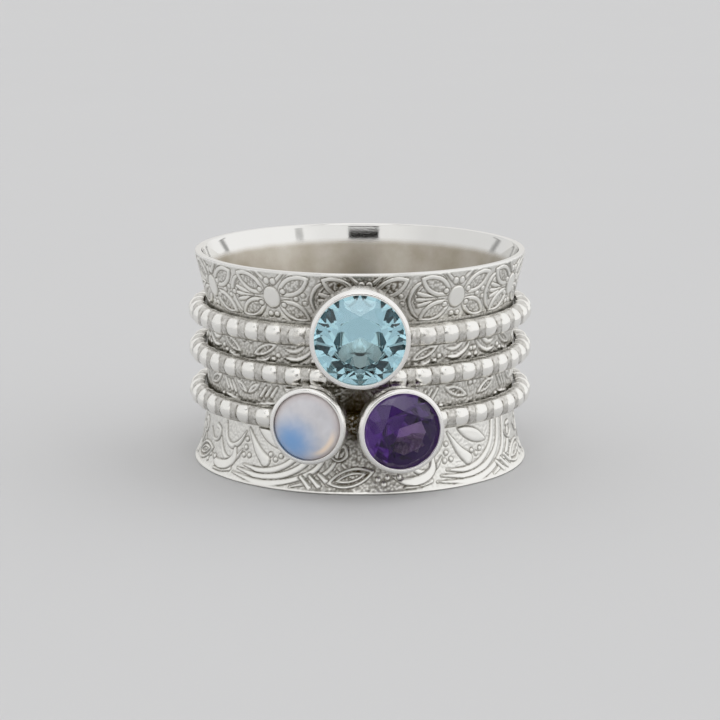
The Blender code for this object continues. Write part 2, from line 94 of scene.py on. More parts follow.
# Wires
BEAD_RADIUS = 0.70
NECK_RADIUS = 0.57
STRIP_RADIUS = 0.69
WIRE_BACK = 0.30
BEADS = 42
BEAD_SHARE = 0.93
BEAD_SQUARENESS = 2.25
NOTCH_PLACE = 0.64
NOTCH_REACH = 0.10
NOTCH_DEPTH = 0.10
STRIP_TARNISH = 0.38
NOTCH_TARNISH = 1.5
STRIP_EDGE = 0.012
RUN_GAP = 0.25
BEAD_VARIATION = 0.012
WIRE_STATIONS = 30
WIRE_SIDES = 28
WIRE_CREASE = 60
BEAD_PHASES = {"top_ring": -3.46, "middle_ring": 3.66, "bottom_ring": 0.95}

# Settings
OVERHANG_GAP = 0.30
STONE_GAP = 0.05
LIP_THICKNESS = 0.20
LIP_OVERLAP = 0.06
LIP_ROUNDING = 0.24
LIP_SLOPE = 0.36
MOUTH_ROUNDING = 0.03
BEZEL_WALL = 0.15
BEZEL_SWELL = 0.05
SADDLE_LENGTH = 4.40
SADDLE_WIDTH = 0.90
SADDLE_BITE = 0.15
SADDLE_ROUNDING = 0.10
SETTING_SEGMENTS = 96
SETTING_CREASE = 32
CUTTER_REACH = 1.0

# Stones
FOOT_CHAMFER = 0.06
GIRDLE = 0.06
TABLE_SHARE = 0.56
STAR_SHARE = 0.77
LOWER_HALF_SHARE = 0.42
CABOCHON_SEGMENTS = 72
CABOCHON_RINGS = 20
TOPAZ = {"name": "topaz", "body": "top_ring", "radius": 2.86, "azimuth": 0.0, "wall": 1.82,
         "crown": 0.75, "pavilion": 2.10, "painted_seat_glow": 0.12}
AMETHYST = {"name": "amethyst", "body": "bottom_ring", "radius": 2.48, "azimuth": 12.0, "wall": 1.00,
            "crown": 0.62, "pavilion": 1.65, "painted_seat_glow": 0.24}
MOONSTONE = {"name": "moonstone", "body": "bottom_ring", "radius": 2.21, "azimuth": -15.1,
             "wall": 1.00, "dome": 0.97, "base": 0.27, "painted_seat_glow": 0.0}

# Engraving
FACE_LEVEL = 0.05
LOW_FACE_LEVEL = 0.04
PILLOW = 0.02
PILLOW_REACH = 0.25
HEART_LEVEL = 0.02
GROUND_LEVEL = -0.035
OUTLINE = 0.06
OUTLINE_LEVEL = -0.07
EDGE = 0.08
PEBBLE = 0.19
PEBBLE_HEIGHT = 0.05
PEBBLE_FILL = 0.52
GROUND_TARNISH = 0.5
OUTLINE_TARNISH = 0.9
FRONT_SHADE_AND_AGE_WIDTH = 24.0
SIDE_AGE = 0.25
BACK_AGE = 0.25
BACK_AZIMUTHS = (90.0, 150.0)
SHADE_AND_PATINA_REACH = 0.6
PETAL_BORDER = 0.25
PLAIN_RIM = 0.20
RIM_STEP = 0.05
CHART_RADIUS = 10.6
ALL_ROUND = 99.0
FLOWER_Z = 12.235
FLOWER_AZIMUTH = 1.75
FLOWER_PITCH = 33.6
FLOWER_REACH = 3.8
FLOWERS = 11
FRONT_FLOWERS = 3
SCROLL_PITCH = 76.5
SCROLL_REACH = 8.4
SCROLLS = 5
FRONT_SCROLLS = 2
CHANNEL_REACH = 2.7
CHANNEL_TILES = 12
CHANNEL_LEAST_AGE = 0.7

# Dark patina where no cloth reaches, with painted shade where the settings shelter the metal, behind
# and between the settings: each place's azimuth in degrees and height, how far it spreads both ways,
# and how strong it is
PATINA_AND_PAINTED_SHADE = [
    ((-1.0, 5.0), (6.5, 2.3), 0.9),
    ((0.0, 10.9), (22.0, 2.6), 0.62),
]

# Values that follow
TOP_RIM_RADIUS = BORE_RADIUS + TOP_FLARE
BOTTOM_RIM_RADIUS = BORE_RADIUS + BOTTOM_FLARE
CHANNEL_RADIUS = BORE_RADIUS + CHANNEL_WALL
WIRE_RADIUS = CHANNEL_RADIUS + RUN_GAP + WIRE_BACK
UPPER_SHOULDER_Z = TOP_WIRE_Z + SHOULDER_HEIGHT
LOWER_SHOULDER_Z = BOTTOM_WIRE_Z - SHOULDER_HEIGHT
SETTING_BASE = WIRE_RADIUS + BEAD_RADIUS + OVERHANG_GAP


# Node trees


def add_node(tree, kind, inputs=None, **settings):
    """Add a node; an input is a value, or another node's output to link."""
    node = tree.nodes.new(kind)
    for name, value in settings.items():
        setattr(node, name, value)
    for key, value in (inputs or {}).items():
        if isinstance(value, bpy.types.NodeSocket):
            tree.links.new(value, node.inputs[key])
        else:
            node.inputs[key].default_value = value
    return node


def calculate(tree, operation, *values):
    """A Math node's result."""
    inputs = dict(enumerate(values))
    return add_node(tree, "ShaderNodeMath", inputs, operation=operation).outputs[0]


def map_range(tree, value, low, high, to_low=0.0, to_high=1.0, smooth=False):
    """A value brought from one range to another and held there."""
    inputs = {"Value": value, "From Min": low, "From Max": high, "To Min": to_low, "To Max": to_high}
    kind = "SMOOTHSTEP" if smooth else "LINEAR"
    return add_node(tree, "ShaderNodeMapRange", inputs, interpolation_type=kind).outputs["Result"]


def add_noise(tree, place, scale, detail, roughness=0.5, distortion=0.0):
    """A noise texture's value at a place."""
    inputs = {"Vector": place, "Scale": scale, "Detail": detail, "Roughness": roughness,
              "Distortion": distortion}
    return add_node(tree, "ShaderNodeTexNoise", inputs).outputs["Fac"]


def mix_colours(tree, share, first, second):
    """Two colours mixed by a share."""
    node = add_node(tree, "ShaderNodeMix", data_type="RGBA")
    for key, value in (("Factor_Float", share), ("A_Color", first), ("B_Color", second)):
        socket = next(s for s in node.inputs if s.identifier == key)
        if isinstance(value, bpy.types.NodeSocket):
            tree.links.new(value, socket)
        else:
            socket.default_value = value
    return next(s for s in node.outputs if s.identifier == "Result_Color")


def new_group(name, kind, inputs, outputs):
    """A node group with named sockets, an input given as (name, kind of socket, default)."""
    group = bpy.data.node_groups.new(name, kind)
    for label, socket_kind, default in inputs:
        socket = group.interface.new_socket(label, in_out="INPUT", socket_type="NodeSocket" + socket_kind)
        if default is not None:
            socket.default_value = default
    for label, socket_kind in outputs:
        group.interface.new_socket(label, in_out="OUTPUT", socket_type="NodeSocket" + socket_kind)
    return group, group.nodes.new("NodeGroupInput").outputs, group.nodes.new("NodeGroupOutput").inputs


def new_material(name, settings):
    """A material with its node tree and its shader, whose plain settings are given by name."""
    material = bpy.data.materials.new(name)
    material.use_nodes = True
    shader = material.node_tree.nodes["Principled BSDF"]
    for label, value in settings.items():
        shader.inputs[label].default_value = value
    return material, material.node_tree, shader.inputs


# Silver finishes


def make_silver_group():
    """Worn silver: dark oxide where the surface is tarnished and where shade is painted, fine grain and
    polishing marks.
    """
    group, given, result = new_group(
        "worn_and_shaded_silver", "ShaderNodeTree",
        [
            ("Tarnish_and_shade", "Float", 0.0),
            ("Silver", "Color", (0.9, 0.89, 0.87, 1.0)),
            ("Oxide", "Color", (0.1, 0.09, 0.07, 1.0)),
            ("Speckle", "Float", 1.0),
            ("Cloud", "Float", 0.1),
            ("Polish", "Float", 0.25),
            ("Grain", "Float", 0.3),
            ("Marks", "Float", 0.3),
        ],
        [("Color", "Color"), ("Roughness", "Float"), ("Normal", "Vector")],
    )
    maths = partial(calculate, group)
    place = add_node(group, "ShaderNodeTexCoord").outputs["Object"]
    centred = add_node(
        group, "ShaderNodeMapping",
        {"Vector": place, "Location": (0.0, -AXIS_Y / MM, 0.0), "Scale": (1 / MM, 1 / MM, 1 / MM)},
    ).outputs[0]
    grain = add_noise(group, centred, 5.0, 5.0, 0.7)
    cloud = add_noise(group, centred, 0.45, 3.0)
    parts = add_node(group, "ShaderNodeSeparateXYZ", {"Vector": centred}).outputs
    turn = maths("ARCTAN2", parts["X"], parts["Y"])
    unrolled = add_node(
        group, "ShaderNodeCombineXYZ",
        {"X": maths("MULTIPLY", turn, 5.0), "Y": maths("MULTIPLY", parts["Z"], 16.0)},
    ).outputs[0]
    marks = add_noise(group, unrolled, 1.0, 4.0, 0.7)

    patchy = maths("MULTIPLY", maths("SUBTRACT", grain, 0.5), given["Speckle"])
    cloudy = maths("MULTIPLY", maths("SUBTRACT", cloud, 0.5), given["Cloud"])
    uneven = maths("ADD", maths("MULTIPLY_ADD", cloudy, 3.0, 1.0), patchy)
    worn_and_shaded = maths("MULTIPLY_ADD", given["Tarnish_and_shade"], uneven, cloudy)
    mask = maths("MINIMUM", maths("MAXIMUM", worn_and_shaded, 0.0), 1.0)
    streaky = maths("MULTIPLY_ADD", marks, 0.5, 0.75)
    roughness = maths("MULTIPLY", given["Polish"], streaky)
    fine = add_node(
        group, "ShaderNodeBump", {"Height": grain, "Strength": given["Grain"], "Distance": 0.03 * MM}
    ).outputs["Normal"]
    brushed = add_node(
        group, "ShaderNodeBump",
        {"Height": marks, "Strength": given["Marks"], "Distance": 0.02 * MM, "Normal": fine},
    ).outputs["Normal"]
    group.links.new(mix_colours(group, mask, given["Silver"], given["Oxide"]), result["Color"])
    group.links.new(maths("MULTIPLY_ADD", mask, 0.35, roughness), result["Roughness"])
    group.links.new(brushed, result["Normal"])
    return group


silver_group = make_silver_group()


def make_silver(name, silver, oxide, worn_and_shaded=True, painted_glow=0.0, **amounts):
    """A silver finish: the shared group, fed with the tarnish and painted shade that the piece's mesh
    holds if worn_and_shaded is set.

    A seat's painted glow is emission that stands for the light that its polished walls keep under the
    stone.
    """
    material, tree, shader = new_material(
        name, {"Metallic": 1.0, "Emission Color": (*silver, 1.0), "Emission Strength": painted_glow}
    )
    finish = add_node(tree, "ShaderNodeGroup", node_tree=silver_group)
    amounts.update(silver=(*silver, 1.0), oxide=(*oxide, 1.0))
    for label, amount in amounts.items():
        finish.inputs[label.capitalize()].default_value = amount
    if worn_and_shaded:
        held = add_node(tree, "ShaderNodeAttribute", attribute_name="tarnish_and_shade").outputs["Fac"]
        tree.links.new(held, finish.inputs["Tarnish_and_shade"])
    for given, wanted in (("Color", "Base Color"), ("Roughness", "Roughness"), ("Normal", "Normal")):
        tree.links.new(finish.outputs[given], shader[wanted])
    return material


engraved_silver = make_silver(
    "engraved_silver", (0.95, 0.942, 0.905), (0.13, 0.108, 0.078),
    speckle=0.9, cloud=0.10, polish=0.30, grain=0.5, marks=0.3
)
# The bore's dark brown is painted shade that deepens inside it
bore_silver = make_silver(
    "bore_silver", (0.80, 0.794, 0.775), (0.40, 0.355, 0.285),
    speckle=0.15, cloud=0.20, polish=0.055, grain=0.03, marks=0.03
)
bead_silver = make_silver(
    "bead_silver", (0.95, 0.94, 0.905), (0.12, 0.10, 0.072),
    speckle=3.2, cloud=0.12, polish=0.16, grain=0.6, marks=0.15
)
bezel_silver = make_silver(
    "bezel_silver", (0.96, 0.95, 0.93), (0.15, 0.13, 0.10),
    speckle=0.6, cloud=0.08, polish=0.20, grain=0.3, marks=0.15
)


def make_seat_silver(stone):
    """The polished hollow under a stone, with a painted glow of emission as bright as the stone needs."""
    return make_silver(
        stone["name"] + "_seat_silver", (0.93, 0.92, 0.88), (0.12, 0.11, 0.09),
        worn_and_shaded=False, painted_glow=stone["painted_seat_glow"],
        speckle=0.5, cloud=0.2, polish=0.5, grain=0.05, marks=0.1
    )


# Stone finishes

GEM_REFRACTION = 1.85

# Places on the moonstone count from its middle, with its rim at 1; the blue sheen and warm glint there
# are painted
PAINTED_SHEEN_PLACE = (-0.38, -0.42)
PAINTED_GLINT_PLACE = (0.62, -0.52)
PAINTED_GLINT_ARC = 0.80
DARK_MILK = (0.55, 0.535, 0.56, 1.0)
LIGHT_MILK = (0.72, 0.72, 0.745, 1.0)
STONE_EDGE = (0.50, 0.42, 0.40, 1.0)
PAINTED_BLUE_SHEEN = (0.25, 0.42, 0.70, 1.0)
PAINTED_WARM_GLINT = (0.96, 0.80, 0.64, 1.0)


def make_gem(name, absorbed, strength):
    """A clear stone whose colour deepens with the length of the light's way through it."""
    material, tree, _ = new_material(name, {
        "Base Color": (1.0, 1.0, 1.0, 1.0),
        "Roughness": 0.0,
        "IOR": GEM_REFRACTION,
        "Transmission Weight": 1.0,
    })
    absorption = add_node(
        tree, "ShaderNodeVolumeAbsorption", {"Color": (*absorbed, 1.0), "Density": strength}
    )
    tree.links.new(absorption.outputs["Volume"], tree.nodes["Material Output"].inputs["Volume"])
    return material


def make_moonstone():
    """Milky stone with a painted blue sheen at its lower left, a painted warm glint in a crescent at its
    lower right and a faint painted glow of emission.
    """
    material, tree, shader = new_material("milky_moonstone_painted_glow", {
        # A faint painted glow: the stone's colour is also given out as emission
        "Emission Strength": 0.08,
        "Roughness": 0.14,
        "IOR": 1.52,
        "Subsurface Weight": 0.3,
        "Subsurface Radius": (1.0, 1.0, 1.0),
        "Subsurface Scale": 0.4 * MM,
    })
    maths = partial(calculate, tree)
    spot = add_node(tree, "ShaderNodeAttribute", attribute_name="spot").outputs["Vector"]

    def distance(x, y):
        return add_node(
            tree, "ShaderNodeVectorMath", {0: spot, 1: (x, y, 0.0)}, operation="DISTANCE"
        ).outputs["Value"]

    from_middle = distance(0.0, 0.0)
    cloud = add_noise(tree, spot, 2.6, 4.0, distortion=0.6)
    milk = mix_colours(tree, cloud, DARK_MILK, LIGHT_MILK)
    edge = map_range(tree, from_middle, 0.70, 1.0, smooth=True)
    rim = mix_colours(tree, maths("MULTIPLY", edge, 0.6), milk, STONE_EDGE)
    wavy = maths("MULTIPLY_ADD", cloud, 0.3, distance(*PAINTED_SHEEN_PLACE))
    painted_sheen = mix_colours(tree, map_range(tree, wavy, 1.15, 0.20, smooth=True), rim, PAINTED_BLUE_SHEEN)
    arc = maths("ABSOLUTE", maths("SUBTRACT", from_middle, PAINTED_GLINT_ARC))
    band = map_range(tree, arc, 0.13, 0.0, smooth=True)
    side = map_range(tree, distance(*PAINTED_GLINT_PLACE), 0.62, 0.15, smooth=True)
    painted_glint = maths("MULTIPLY", maths("MULTIPLY", band, side), 0.8)
    warm = mix_colours(tree, painted_glint, painted_sheen, PAINTED_WARM_GLINT)
    tree.links.new(warm, shader["Base Color"])
    tree.links.new(warm, shader["Emission Color"])
    return material


topaz_glass = make_gem("sky_topaz", (0.35, 0.80, 0.92), 170.0)
amethyst_glass = make_gem("deep_amethyst", (0.48, 0.27, 0.66), 980.0)
moonstone_milk = make_moonstone()


# Pieces


def place_object(name, data):
    """A new object at the frame's origin, for good or until its mesh is baked or has cut another."""
    thing = bpy.data.objects.new(name, data)
    bpy.context.scene.collection.objects.link(thing)
    return thing


def add_piece(name, mesh, body, replaced=()):
    """Show a finished mesh, whose place is in its vertices, and say what it rides and replaces."""
    piece = place_object(name, mesh)
    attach(piece, body)
    if replaced:
        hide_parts(*replaced)


def bake(thing, name):
    """The mesh of an object with its modifiers applied; the object itself goes away."""
    graph = bpy.context.evaluated_depsgraph_get()
    mesh = bpy.data.meshes.new_from_object(thing.evaluated_get(graph))
    mesh.name = name
    bpy.data.objects.remove(thing, do_unlink=True)
    return mesh


def combine(thing, helper, operation):
    """Join a helper to an object or cut it out; each face keeps its own finish."""
    change = thing.modifiers.new(operation.lower(), "BOOLEAN")
    change.operation = operation
    change.solver = "EXACT"
    change.material_mode = "TRANSFER"
    change.object = helper


def finish_mesh(bm, name):
    """A mesh of what was built, its faces outwards."""
    bmesh.ops.recalc_face_normals(bm, faces=bm.faces)
    mesh = bpy.data.meshes.new(name)
    bm.to_mesh(mesh)
    bm.free()
    return mesh


def smooth_over(mesh, crease):
    """Shade a mesh smooth but for edges that bend by more degrees than the crease."""
    mesh.shade_smooth()
    mesh.set_sharp_from_angle(angle=radians(crease))


# Band profile


def outer_radius(z):
    """Outer radius of the band: a straight channel for the wires between two flares."""
    if z > UPPER_SHOULDER_Z:
        part = (z - UPPER_SHOULDER_Z) / (BAND_WIDTH - UPPER_SHOULDER_Z)
        return CHANNEL_RADIUS + (TOP_RIM_RADIUS - CHANNEL_RADIUS) * part
    if z >= LOWER_SHOULDER_Z:
        return CHANNEL_RADIUS
    part = (LOWER_SHOULDER_Z - z) / LOWER_SHOULDER_Z
    rise = (1 - LIP_SHARE) * part + LIP_SHARE * part ** LIP_POWER
    return CHANNEL_RADIUS + (BOTTOM_RIM_RADIUS - CHANNEL_RADIUS) * rise


def inner_radius(z):
    """Inner radius of the band: a plain bore that opens towards both rims."""
    upper_start = TOP_WIRE_Z - INNER_FLARE_START
    lower_start = BOTTOM_WIRE_Z + INNER_FLARE_START
    if z > upper_start:
        part = (z - upper_start) / (BAND_WIDTH - upper_start)
        rim = TOP_RIM_RADIUS
    elif z < lower_start:
        part = (lower_start - z) / lower_start
        rim = BOTTOM_RIM_RADIUS
    else:
        return BORE_RADIUS
    return BORE_RADIUS + (rim - RIM_WALL - BORE_RADIUS) * part ** INNER_FLARE_POWER


def even_rows(start, end, step):
    """Evenly spaced heights from start to end, about a step apart."""
    count = max(round(abs(end - start) / step), 1)
    return np.linspace(start, end, count + 1)


def rim_rows(edge, top):
    """Rounded rim between the outer and the inner wall, from its row at the edge over the top."""
    outer = outer_radius(edge)
    inner = inner_radius(edge)
    middle = (outer + inner) / 2
    half = (outer - inner) / 2
    turns = [pi * k / RIM_STEPS for k in range(1, RIM_STEPS)]
    return [(middle + half * abs(cos(t)) ** RIM_SQUARENESS * (1 if cos(t) > 0 else -1),
             edge + (top - edge) * sin(t) ** RIM_SQUARENESS) for t in turns]


# Drawing on the flat


def smooth_step(share):
    """A share from 0 to 1 that starts and ends gently."""
    share = np.clip(share, 0.0, 1.0)
    return share * share * (3 - 2 * share)


def pebbles(x, y, around, seed):
    """Round grains scattered over a strip that closes on itself: 0 between them and 1 on top."""
    random = np.random.default_rng(seed)
    across = int(around / PEBBLE)
    up = int((y[-1] - y[0]) / PEBBLE) + 4
    cell = around / across
    offsets = random.random((up, across, 2))
    column = np.floor(x / cell).astype(int)
    row = np.floor((y - y[0]) / PEBBLE).astype(int) + 1
    nearest = np.full((len(y), len(x)), PEBBLE)
    for step_up in (-1, 0, 1):
        for step_round in (-1, 0, 1):
            cells = offsets[row + step_up][:, (column + step_round) % across]
            grain_x = (column + step_round + cells[..., 0]) * cell
            grain_y = (row[:, None] + step_up - 1 + cells[..., 1]) * PEBBLE + y[0]
            nearest = np.minimum(nearest, np.hypot(x - grain_x, y[:, None] - grain_y))
    return smooth_step(1.25 - nearest / (PEBBLE_FILL * PEBBLE))


def patina_and_shade(azimuths, heights):
    """How dark the patina and painted shade are at azimuths and heights."""
    dark = 0.0
    for (azimuth, height), (across, up), share in PATINA_AND_PAINTED_SHADE:
        away = ((azimuths - azimuth) / across) ** 2 + ((heights - height) / up) ** 2
        dark = np.maximum(dark, share * np.exp(-away ** 2))
    return dark


def add_patina_and_shade(mesh):
    """Darken a finished mesh's tarnish with patina and painted shade where the settings shelter it."""
    places = np.empty(3 * len(mesh.vertices))
    mesh.vertices.foreach_get("co", places)
    places = places.reshape(-1, 3)
    azimuths = np.degrees(np.arctan2(places[:, 0], AXIS_Y - places[:, 1]))
    held = mesh.attributes.get("tarnish_and_shade") or mesh.attributes.new("tarnish_and_shade", "FLOAT", "POINT")
    tarnish_and_shade = np.zeros(len(mesh.vertices))
    held.data.foreach_get("value", tarnish_and_shade)
    reach = np.hypot(places[:, 0], AXIS_Y - places[:, 1]) / MM
    sheltered = smooth_step((SETTING_BASE + SHADE_AND_PATINA_REACH - reach) / SHADE_AND_PATINA_REACH)
    # Patina with painted shade: darker where the settings stand over the metal
    dark = patina_and_shade(azimuths, places[:, 2] / MM) * sheltered
    held.data.foreach_set("value", np.maximum(tarnish_and_shade, dark))


class Patch:
    """A strip of the band's outside laid flat: how far its metal stands up, and its tarnish, with painted
    shade towards the front.
    """

    def __init__(self, columns, rows, radius, seed, least_age=SIDE_AGE):
        self.azimuths = 360.0 * np.arange(columns) / columns - 180.0
        self.rows = rows
        self.scale = radians(radius)
        around = self.azimuths * self.scale
        self.grain = pebbles(around - around[0], rows, 360.0 * self.scale, seed)
        # Tarnish with painted shade: darker towards the front, round and behind the stones; the back is
        # more tarnished than the sides
        front = np.exp(-(self.azimuths / FRONT_SHADE_AND_AGE_WIDTH) ** 2)
        start, end = BACK_AZIMUTHS
        back = smooth_step((np.abs(self.azimuths) - start) / (end - start))
        self.age_and_shade = np.maximum(front, least_age + BACK_AGE * back) + 0 * self.grain
        self.level = GROUND_LEVEL + PEBBLE_HEIGHT * self.grain * (0.3 + 0.7 * self.age_and_shade)
        self.tarnish_and_shade = GROUND_TARNISH * (1.3 - self.grain) * self.age_and_shade


class Tile:
    """The part of a patch that one drawing covers, with the drawing's own origin."""

    def __init__(self, patch, azimuth, height, reach, mirror=1.0):
        away = (patch.azimuths - azimuth + 180.0) % 360.0 - 180.0
        self.patch = patch
        self.columns = np.nonzero(np.abs(away * patch.scale) < reach)[0]
        self.x = away[self.columns] * patch.scale * mirror
        self.y = (patch.rows - height)[:, None]
        self.grain = patch.grain[:, self.columns]
        self.age_and_shade = patch.age_and_shade[:, self.columns]
        self.level = patch.level[:, self.columns]
        self.tarnish_and_shade = patch.tarnish_and_shade[:, self.columns]

    def carve(self, distance, level, tarnish_and_shade):
        """Bring a shape's inside to a level and a tarnish, over a soft edge."""
        share = smooth_step(0.5 - distance / EDGE)
        self.level += (level - self.level) * share
        self.tarnish_and_shade += (tarnish_and_shade - self.tarnish_and_shade) * share

    def raise_face(self, distance, level=FACE_LEVEL):
        """Raise a shape to a smooth, slightly pillowed face with a dark line round its foot."""
        self.carve(distance - OUTLINE, OUTLINE_LEVEL, OUTLINE_TARNISH * (0.8 + 0.2 * self.age_and_shade))
        self.carve(distance, level + PILLOW * smooth_step(-distance / PILLOW_REACH), 0.0)

    def sink_grain(self, distance, level=0.0):
        """Sink a shape to a dark line and a floor of round grains."""
        self.carve(distance, level + OUTLINE_LEVEL, OUTLINE_TARNISH * (0.8 + 0.2 * self.age_and_shade))
        floor = level + GROUND_LEVEL + PEBBLE_HEIGHT * self.grain
        self.carve(distance + OUTLINE, floor, (0.3 + 0.5 * self.age_and_shade) * (1.1 - self.grain))

    def raise_strokes(self, shapes, widths):
        """Raise a stroke through each list of points, all as wide."""
        for points in shapes:
            self.raise_face(self.stroke(points, widths))

    def raise_dots(self, places, width, height, level=FACE_LEVEL):
        """Raise an oval at each place."""
        for x, y in places:
            self.raise_face(self.disc(x, y, width, height), level)

    def raise_bars(self, places, start, end, widths):
        """Raise a bar at each place, from which its start and its end are counted."""
        for x, y in places:
            ends = [(x + start[0], y + start[1]), (x + end[0], y + end[1])]
            self.raise_face(self.stroke(ends, widths))

    def press(self):
        """Put the finished drawing back on its patch."""
        self.patch.level[:, self.columns] = self.level
        self.patch.tarnish_and_shade[:, self.columns] = self.tarnish_and_shade

    def disc(self, x, y, width, height):
        """Distance from an oval."""
        half = min(width, height) / 2
        return (np.hypot((self.x - x) / width, (self.y - y) / height) * 2 - 1) * half

    def leaf(self, start, tip, width):
        """Distance from a pointed leaf between two points."""
        along = np.subtract(tip, start)
        length = np.hypot(*along)
        ahead = along / length
        middle = np.add(start, tip) / 2
        run = (self.x - middle[0]) * ahead[0] + (self.y - middle[1]) * ahead[1]
        side = (self.y - middle[1]) * ahead[0] - (self.x - middle[0]) * ahead[1]
        radius = (length ** 2 / 4 + width ** 2 / 4) / width
        offset = radius - width / 2
        return np.hypot(run, np.abs(side) + offset) - radius

    def stroke(self, points, widths, steps=6):
        """Distance from a smooth stroke through points, as wide at each as its width says."""
        knots = np.column_stack([points, widths]).astype(float)
        padded = np.vstack([2 * knots[0] - knots[1], knots, 2 * knots[-1] - knots[-2]])
        curve = [knots[0]]
        for a, b, c, d in zip(padded, padded[1:], padded[2:], padded[3:]):
            for k in range(1, steps + 1):
                t = k / steps
                curve.append(b + (c - a) * t / 2 + (2 * a - 5 * b + 4 * c - d) * t ** 2 / 2
                             + (3 * b - a - 3 * c + d) * t ** 3 / 2)
        nearest = np.full(self.level.shape, 9.0)
        for (x, y, wide), (x_next, y_next, wide_next) in zip(curve, curve[1:]):
            dx, dy = x_next - x, y_next - y
            share = ((self.x - x) * dx + (self.y - y) * dy) / (dx * dx + dy * dy + 1e-9)
            share = np.clip(share, 0.0, 1.0)
            gap = np.hypot(self.x - x - share * dx, self.y - y - share * dy)
            nearest = np.minimum(nearest, gap - (wide + (wide_next - wide) * share) / 2)
        return nearest


def spread_azimuths(front, pitch, fronts, count):
    """Azimuths of a repeat: some at the front at one pitch, the rest spaced evenly behind."""
    first = front - pitch * (fronts - 1) / 2
    ahead = [first + pitch * k for k in range(fronts)]
    rest = (360.0 - pitch * (fronts - 1)) / (count - fronts + 1)
    return ahead + [ahead[-1] + rest * (k + 1) for k in range(count - fronts)]


# The upper flare's flower: what lies under is drawn first
FLOWER_SCALLOPS = [
    ([(-2.30, 1.30), (-3.05, 0.85), (-3.42, 0.0), (-3.15, -0.80), (-2.70, -1.25)], 0.24),
    ([(-2.45, 0.95), (-2.85, 0.55), (-3.02, 0.0), (-2.85, -0.50)], 0.13),
]
FLOWER_BARS = [
    [(-2.85, 0.42), (-2.25, 0.22), (-1.55, 0.10)],
    [(-2.90, 0.0), (-2.30, -0.06), (-1.50, -0.02)],
    [(-2.80, -0.42), (-2.30, -0.30), (-1.75, -0.14)],
]
FLOWER_DOTS = [(2.25, 0.28), (2.35, -0.25), (2.78, 0.02), (1.75, 0.03)]
FLOWER_CREST = [(0.10, 0.80), (0.42, 1.10), (0.95, 1.62)]
FLOWER_PAIRS = [(0.24, 1.06, 0.40, 0.42), (0.24, -1.10, 0.36, 0.36)]
FLOWER_DISC = (0.0, 0.0, 1.24, 1.40)
DISC_SHARE = 1.15
PETAL_START = (0.46, 0.27)
PETAL_TIP = (2.72, 1.40)
PETAL_WIDTH = 1.24
PETAL_BEAD = (0.86, 0.44)


def draw_flower(tile):
    """A flower of four long petals with grained hearts round a plain disc."""
    for points, width in FLOWER_SCALLOPS:
        widths = [width * 0.4] + [width] * (len(points) - 2) + [width * 0.4]
        tile.raise_face(tile.stroke(points, widths))
    tile.raise_strokes(FLOWER_BARS, (0.22, 0.26, 0.06))
    tile.raise_dots(FLOWER_DOTS, 0.34, 0.30, LOW_FACE_LEVEL)
    for side in (-1, 1):
        crest = [(side * x, y) for x, y in FLOWER_CREST]
        tile.raise_face(tile.stroke(crest, (0.06, 0.22, 0.16)))
        tile.raise_face(tile.leaf((side * 0.95, 1.22), (side * 2.0, 1.72), 0.30))
    for across in (-1, 1):
        for up in (-1, 1):
            start = (across * PETAL_START[0], up * PETAL_START[1])
            tip = (across * PETAL_TIP[0], up * PETAL_TIP[1])
            petal = tile.leaf(start, tip, PETAL_WIDTH)
            tile.raise_face(petal)
            tile.sink_grain(petal + PETAL_BORDER, HEART_LEVEL)
            tile.raise_face(tile.disc(across * PETAL_BEAD[0], up * PETAL_BEAD[1], 0.36, 0.33))
    for side in (-1, 1):
        for x, y, width, height in FLOWER_PAIRS:
            tile.raise_face(tile.disc(side * x, y, width, height))
    tile.raise_face(tile.disc(*FLOWER_DISC), FACE_LEVEL * DISC_SHARE)


# The lower flare's scroll, its origin on the bottom rim
SCROLL_RIBBONS = [
    ([(-1.25, 1.12), (0.5, 0.98), (2.0, 1.45), (3.05, 2.35), (3.45, 3.7)], 0.34),
    ([(-1.75, 0.82), (0.6, 0.62), (2.5, 1.10), (3.75, 2.05), (4.20, 3.7)], 0.36),
    ([(-2.1, 0.50), (0.7, 0.30), (3.0, 0.78), (4.50, 1.75), (4.95, 3.7)], 0.30),
    ([(2.6, 0.28), (4.0, 0.72), (5.25, 1.60), (5.75, 3.0)], 0.24),
]
SCROLL_CRESCENTS = [
    [(-3.55, 3.45), (-3.35, 2.45), (-2.65, 2.05), (-1.85, 2.45), (-1.30, 3.20)],
    [(-4.10, 2.35), (-3.60, 1.45), (-2.80, 1.10), (-2.05, 1.40), (-1.55, 2.00)],
]
SCROLL_BARS = [(3.55, 0.62), (4.15, 0.70), (4.75, 0.86)]
SCROLL_HATCHES = [(5.35, 0.75), (5.85, 1.05), (6.2, 1.5)]
SCROLL_DOTS = [(-1.15, 2.75), (-1.2, 2.2), (-0.85, 1.75), (-1.35, 1.7), (0.95, 2.05), (1.35, 1.8),
               (1.75, 2.05), (-5.6, 0.62), (-5.95, 0.9), (-5.35, 1.0), (-4.6, 1.0)]
SCROLL_HOOK = [(-5.0, 1.05), (-4.2, 0.72), (-3.1, 0.78), (-2.35, 1.25), (-2.25, 1.95)]
SCROLL_CURLS = [
    [(-5.9, 2.6), (-5.2, 2.0), (-4.5, 2.2), (-4.35, 2.8), (-4.85, 2.95)],
    [(-4.3, 0.35), (-3.3, 0.42), (-2.5, 0.62)],
    [(4.9, 2.55), (5.6, 2.05), (6.2, 2.35), (6.1, 2.95), (5.6, 2.9)],
]
SCROLL_ALMOND = ((5.0, 0.62), (8.0, 1.42), 1.15)
ALMOND_BORDER = 0.15
ALMOND_HEART = 0.30
ALMOND_PIT = 0.42
SCROLL_LEAF = ((-0.15, 3.62), (2.45, 2.52), 0.85)
SCROLL_DROP = ([(-0.98, 3.45), (-0.15, 2.25), (0.55, 1.62)], (0.10, 0.50, 0.74))


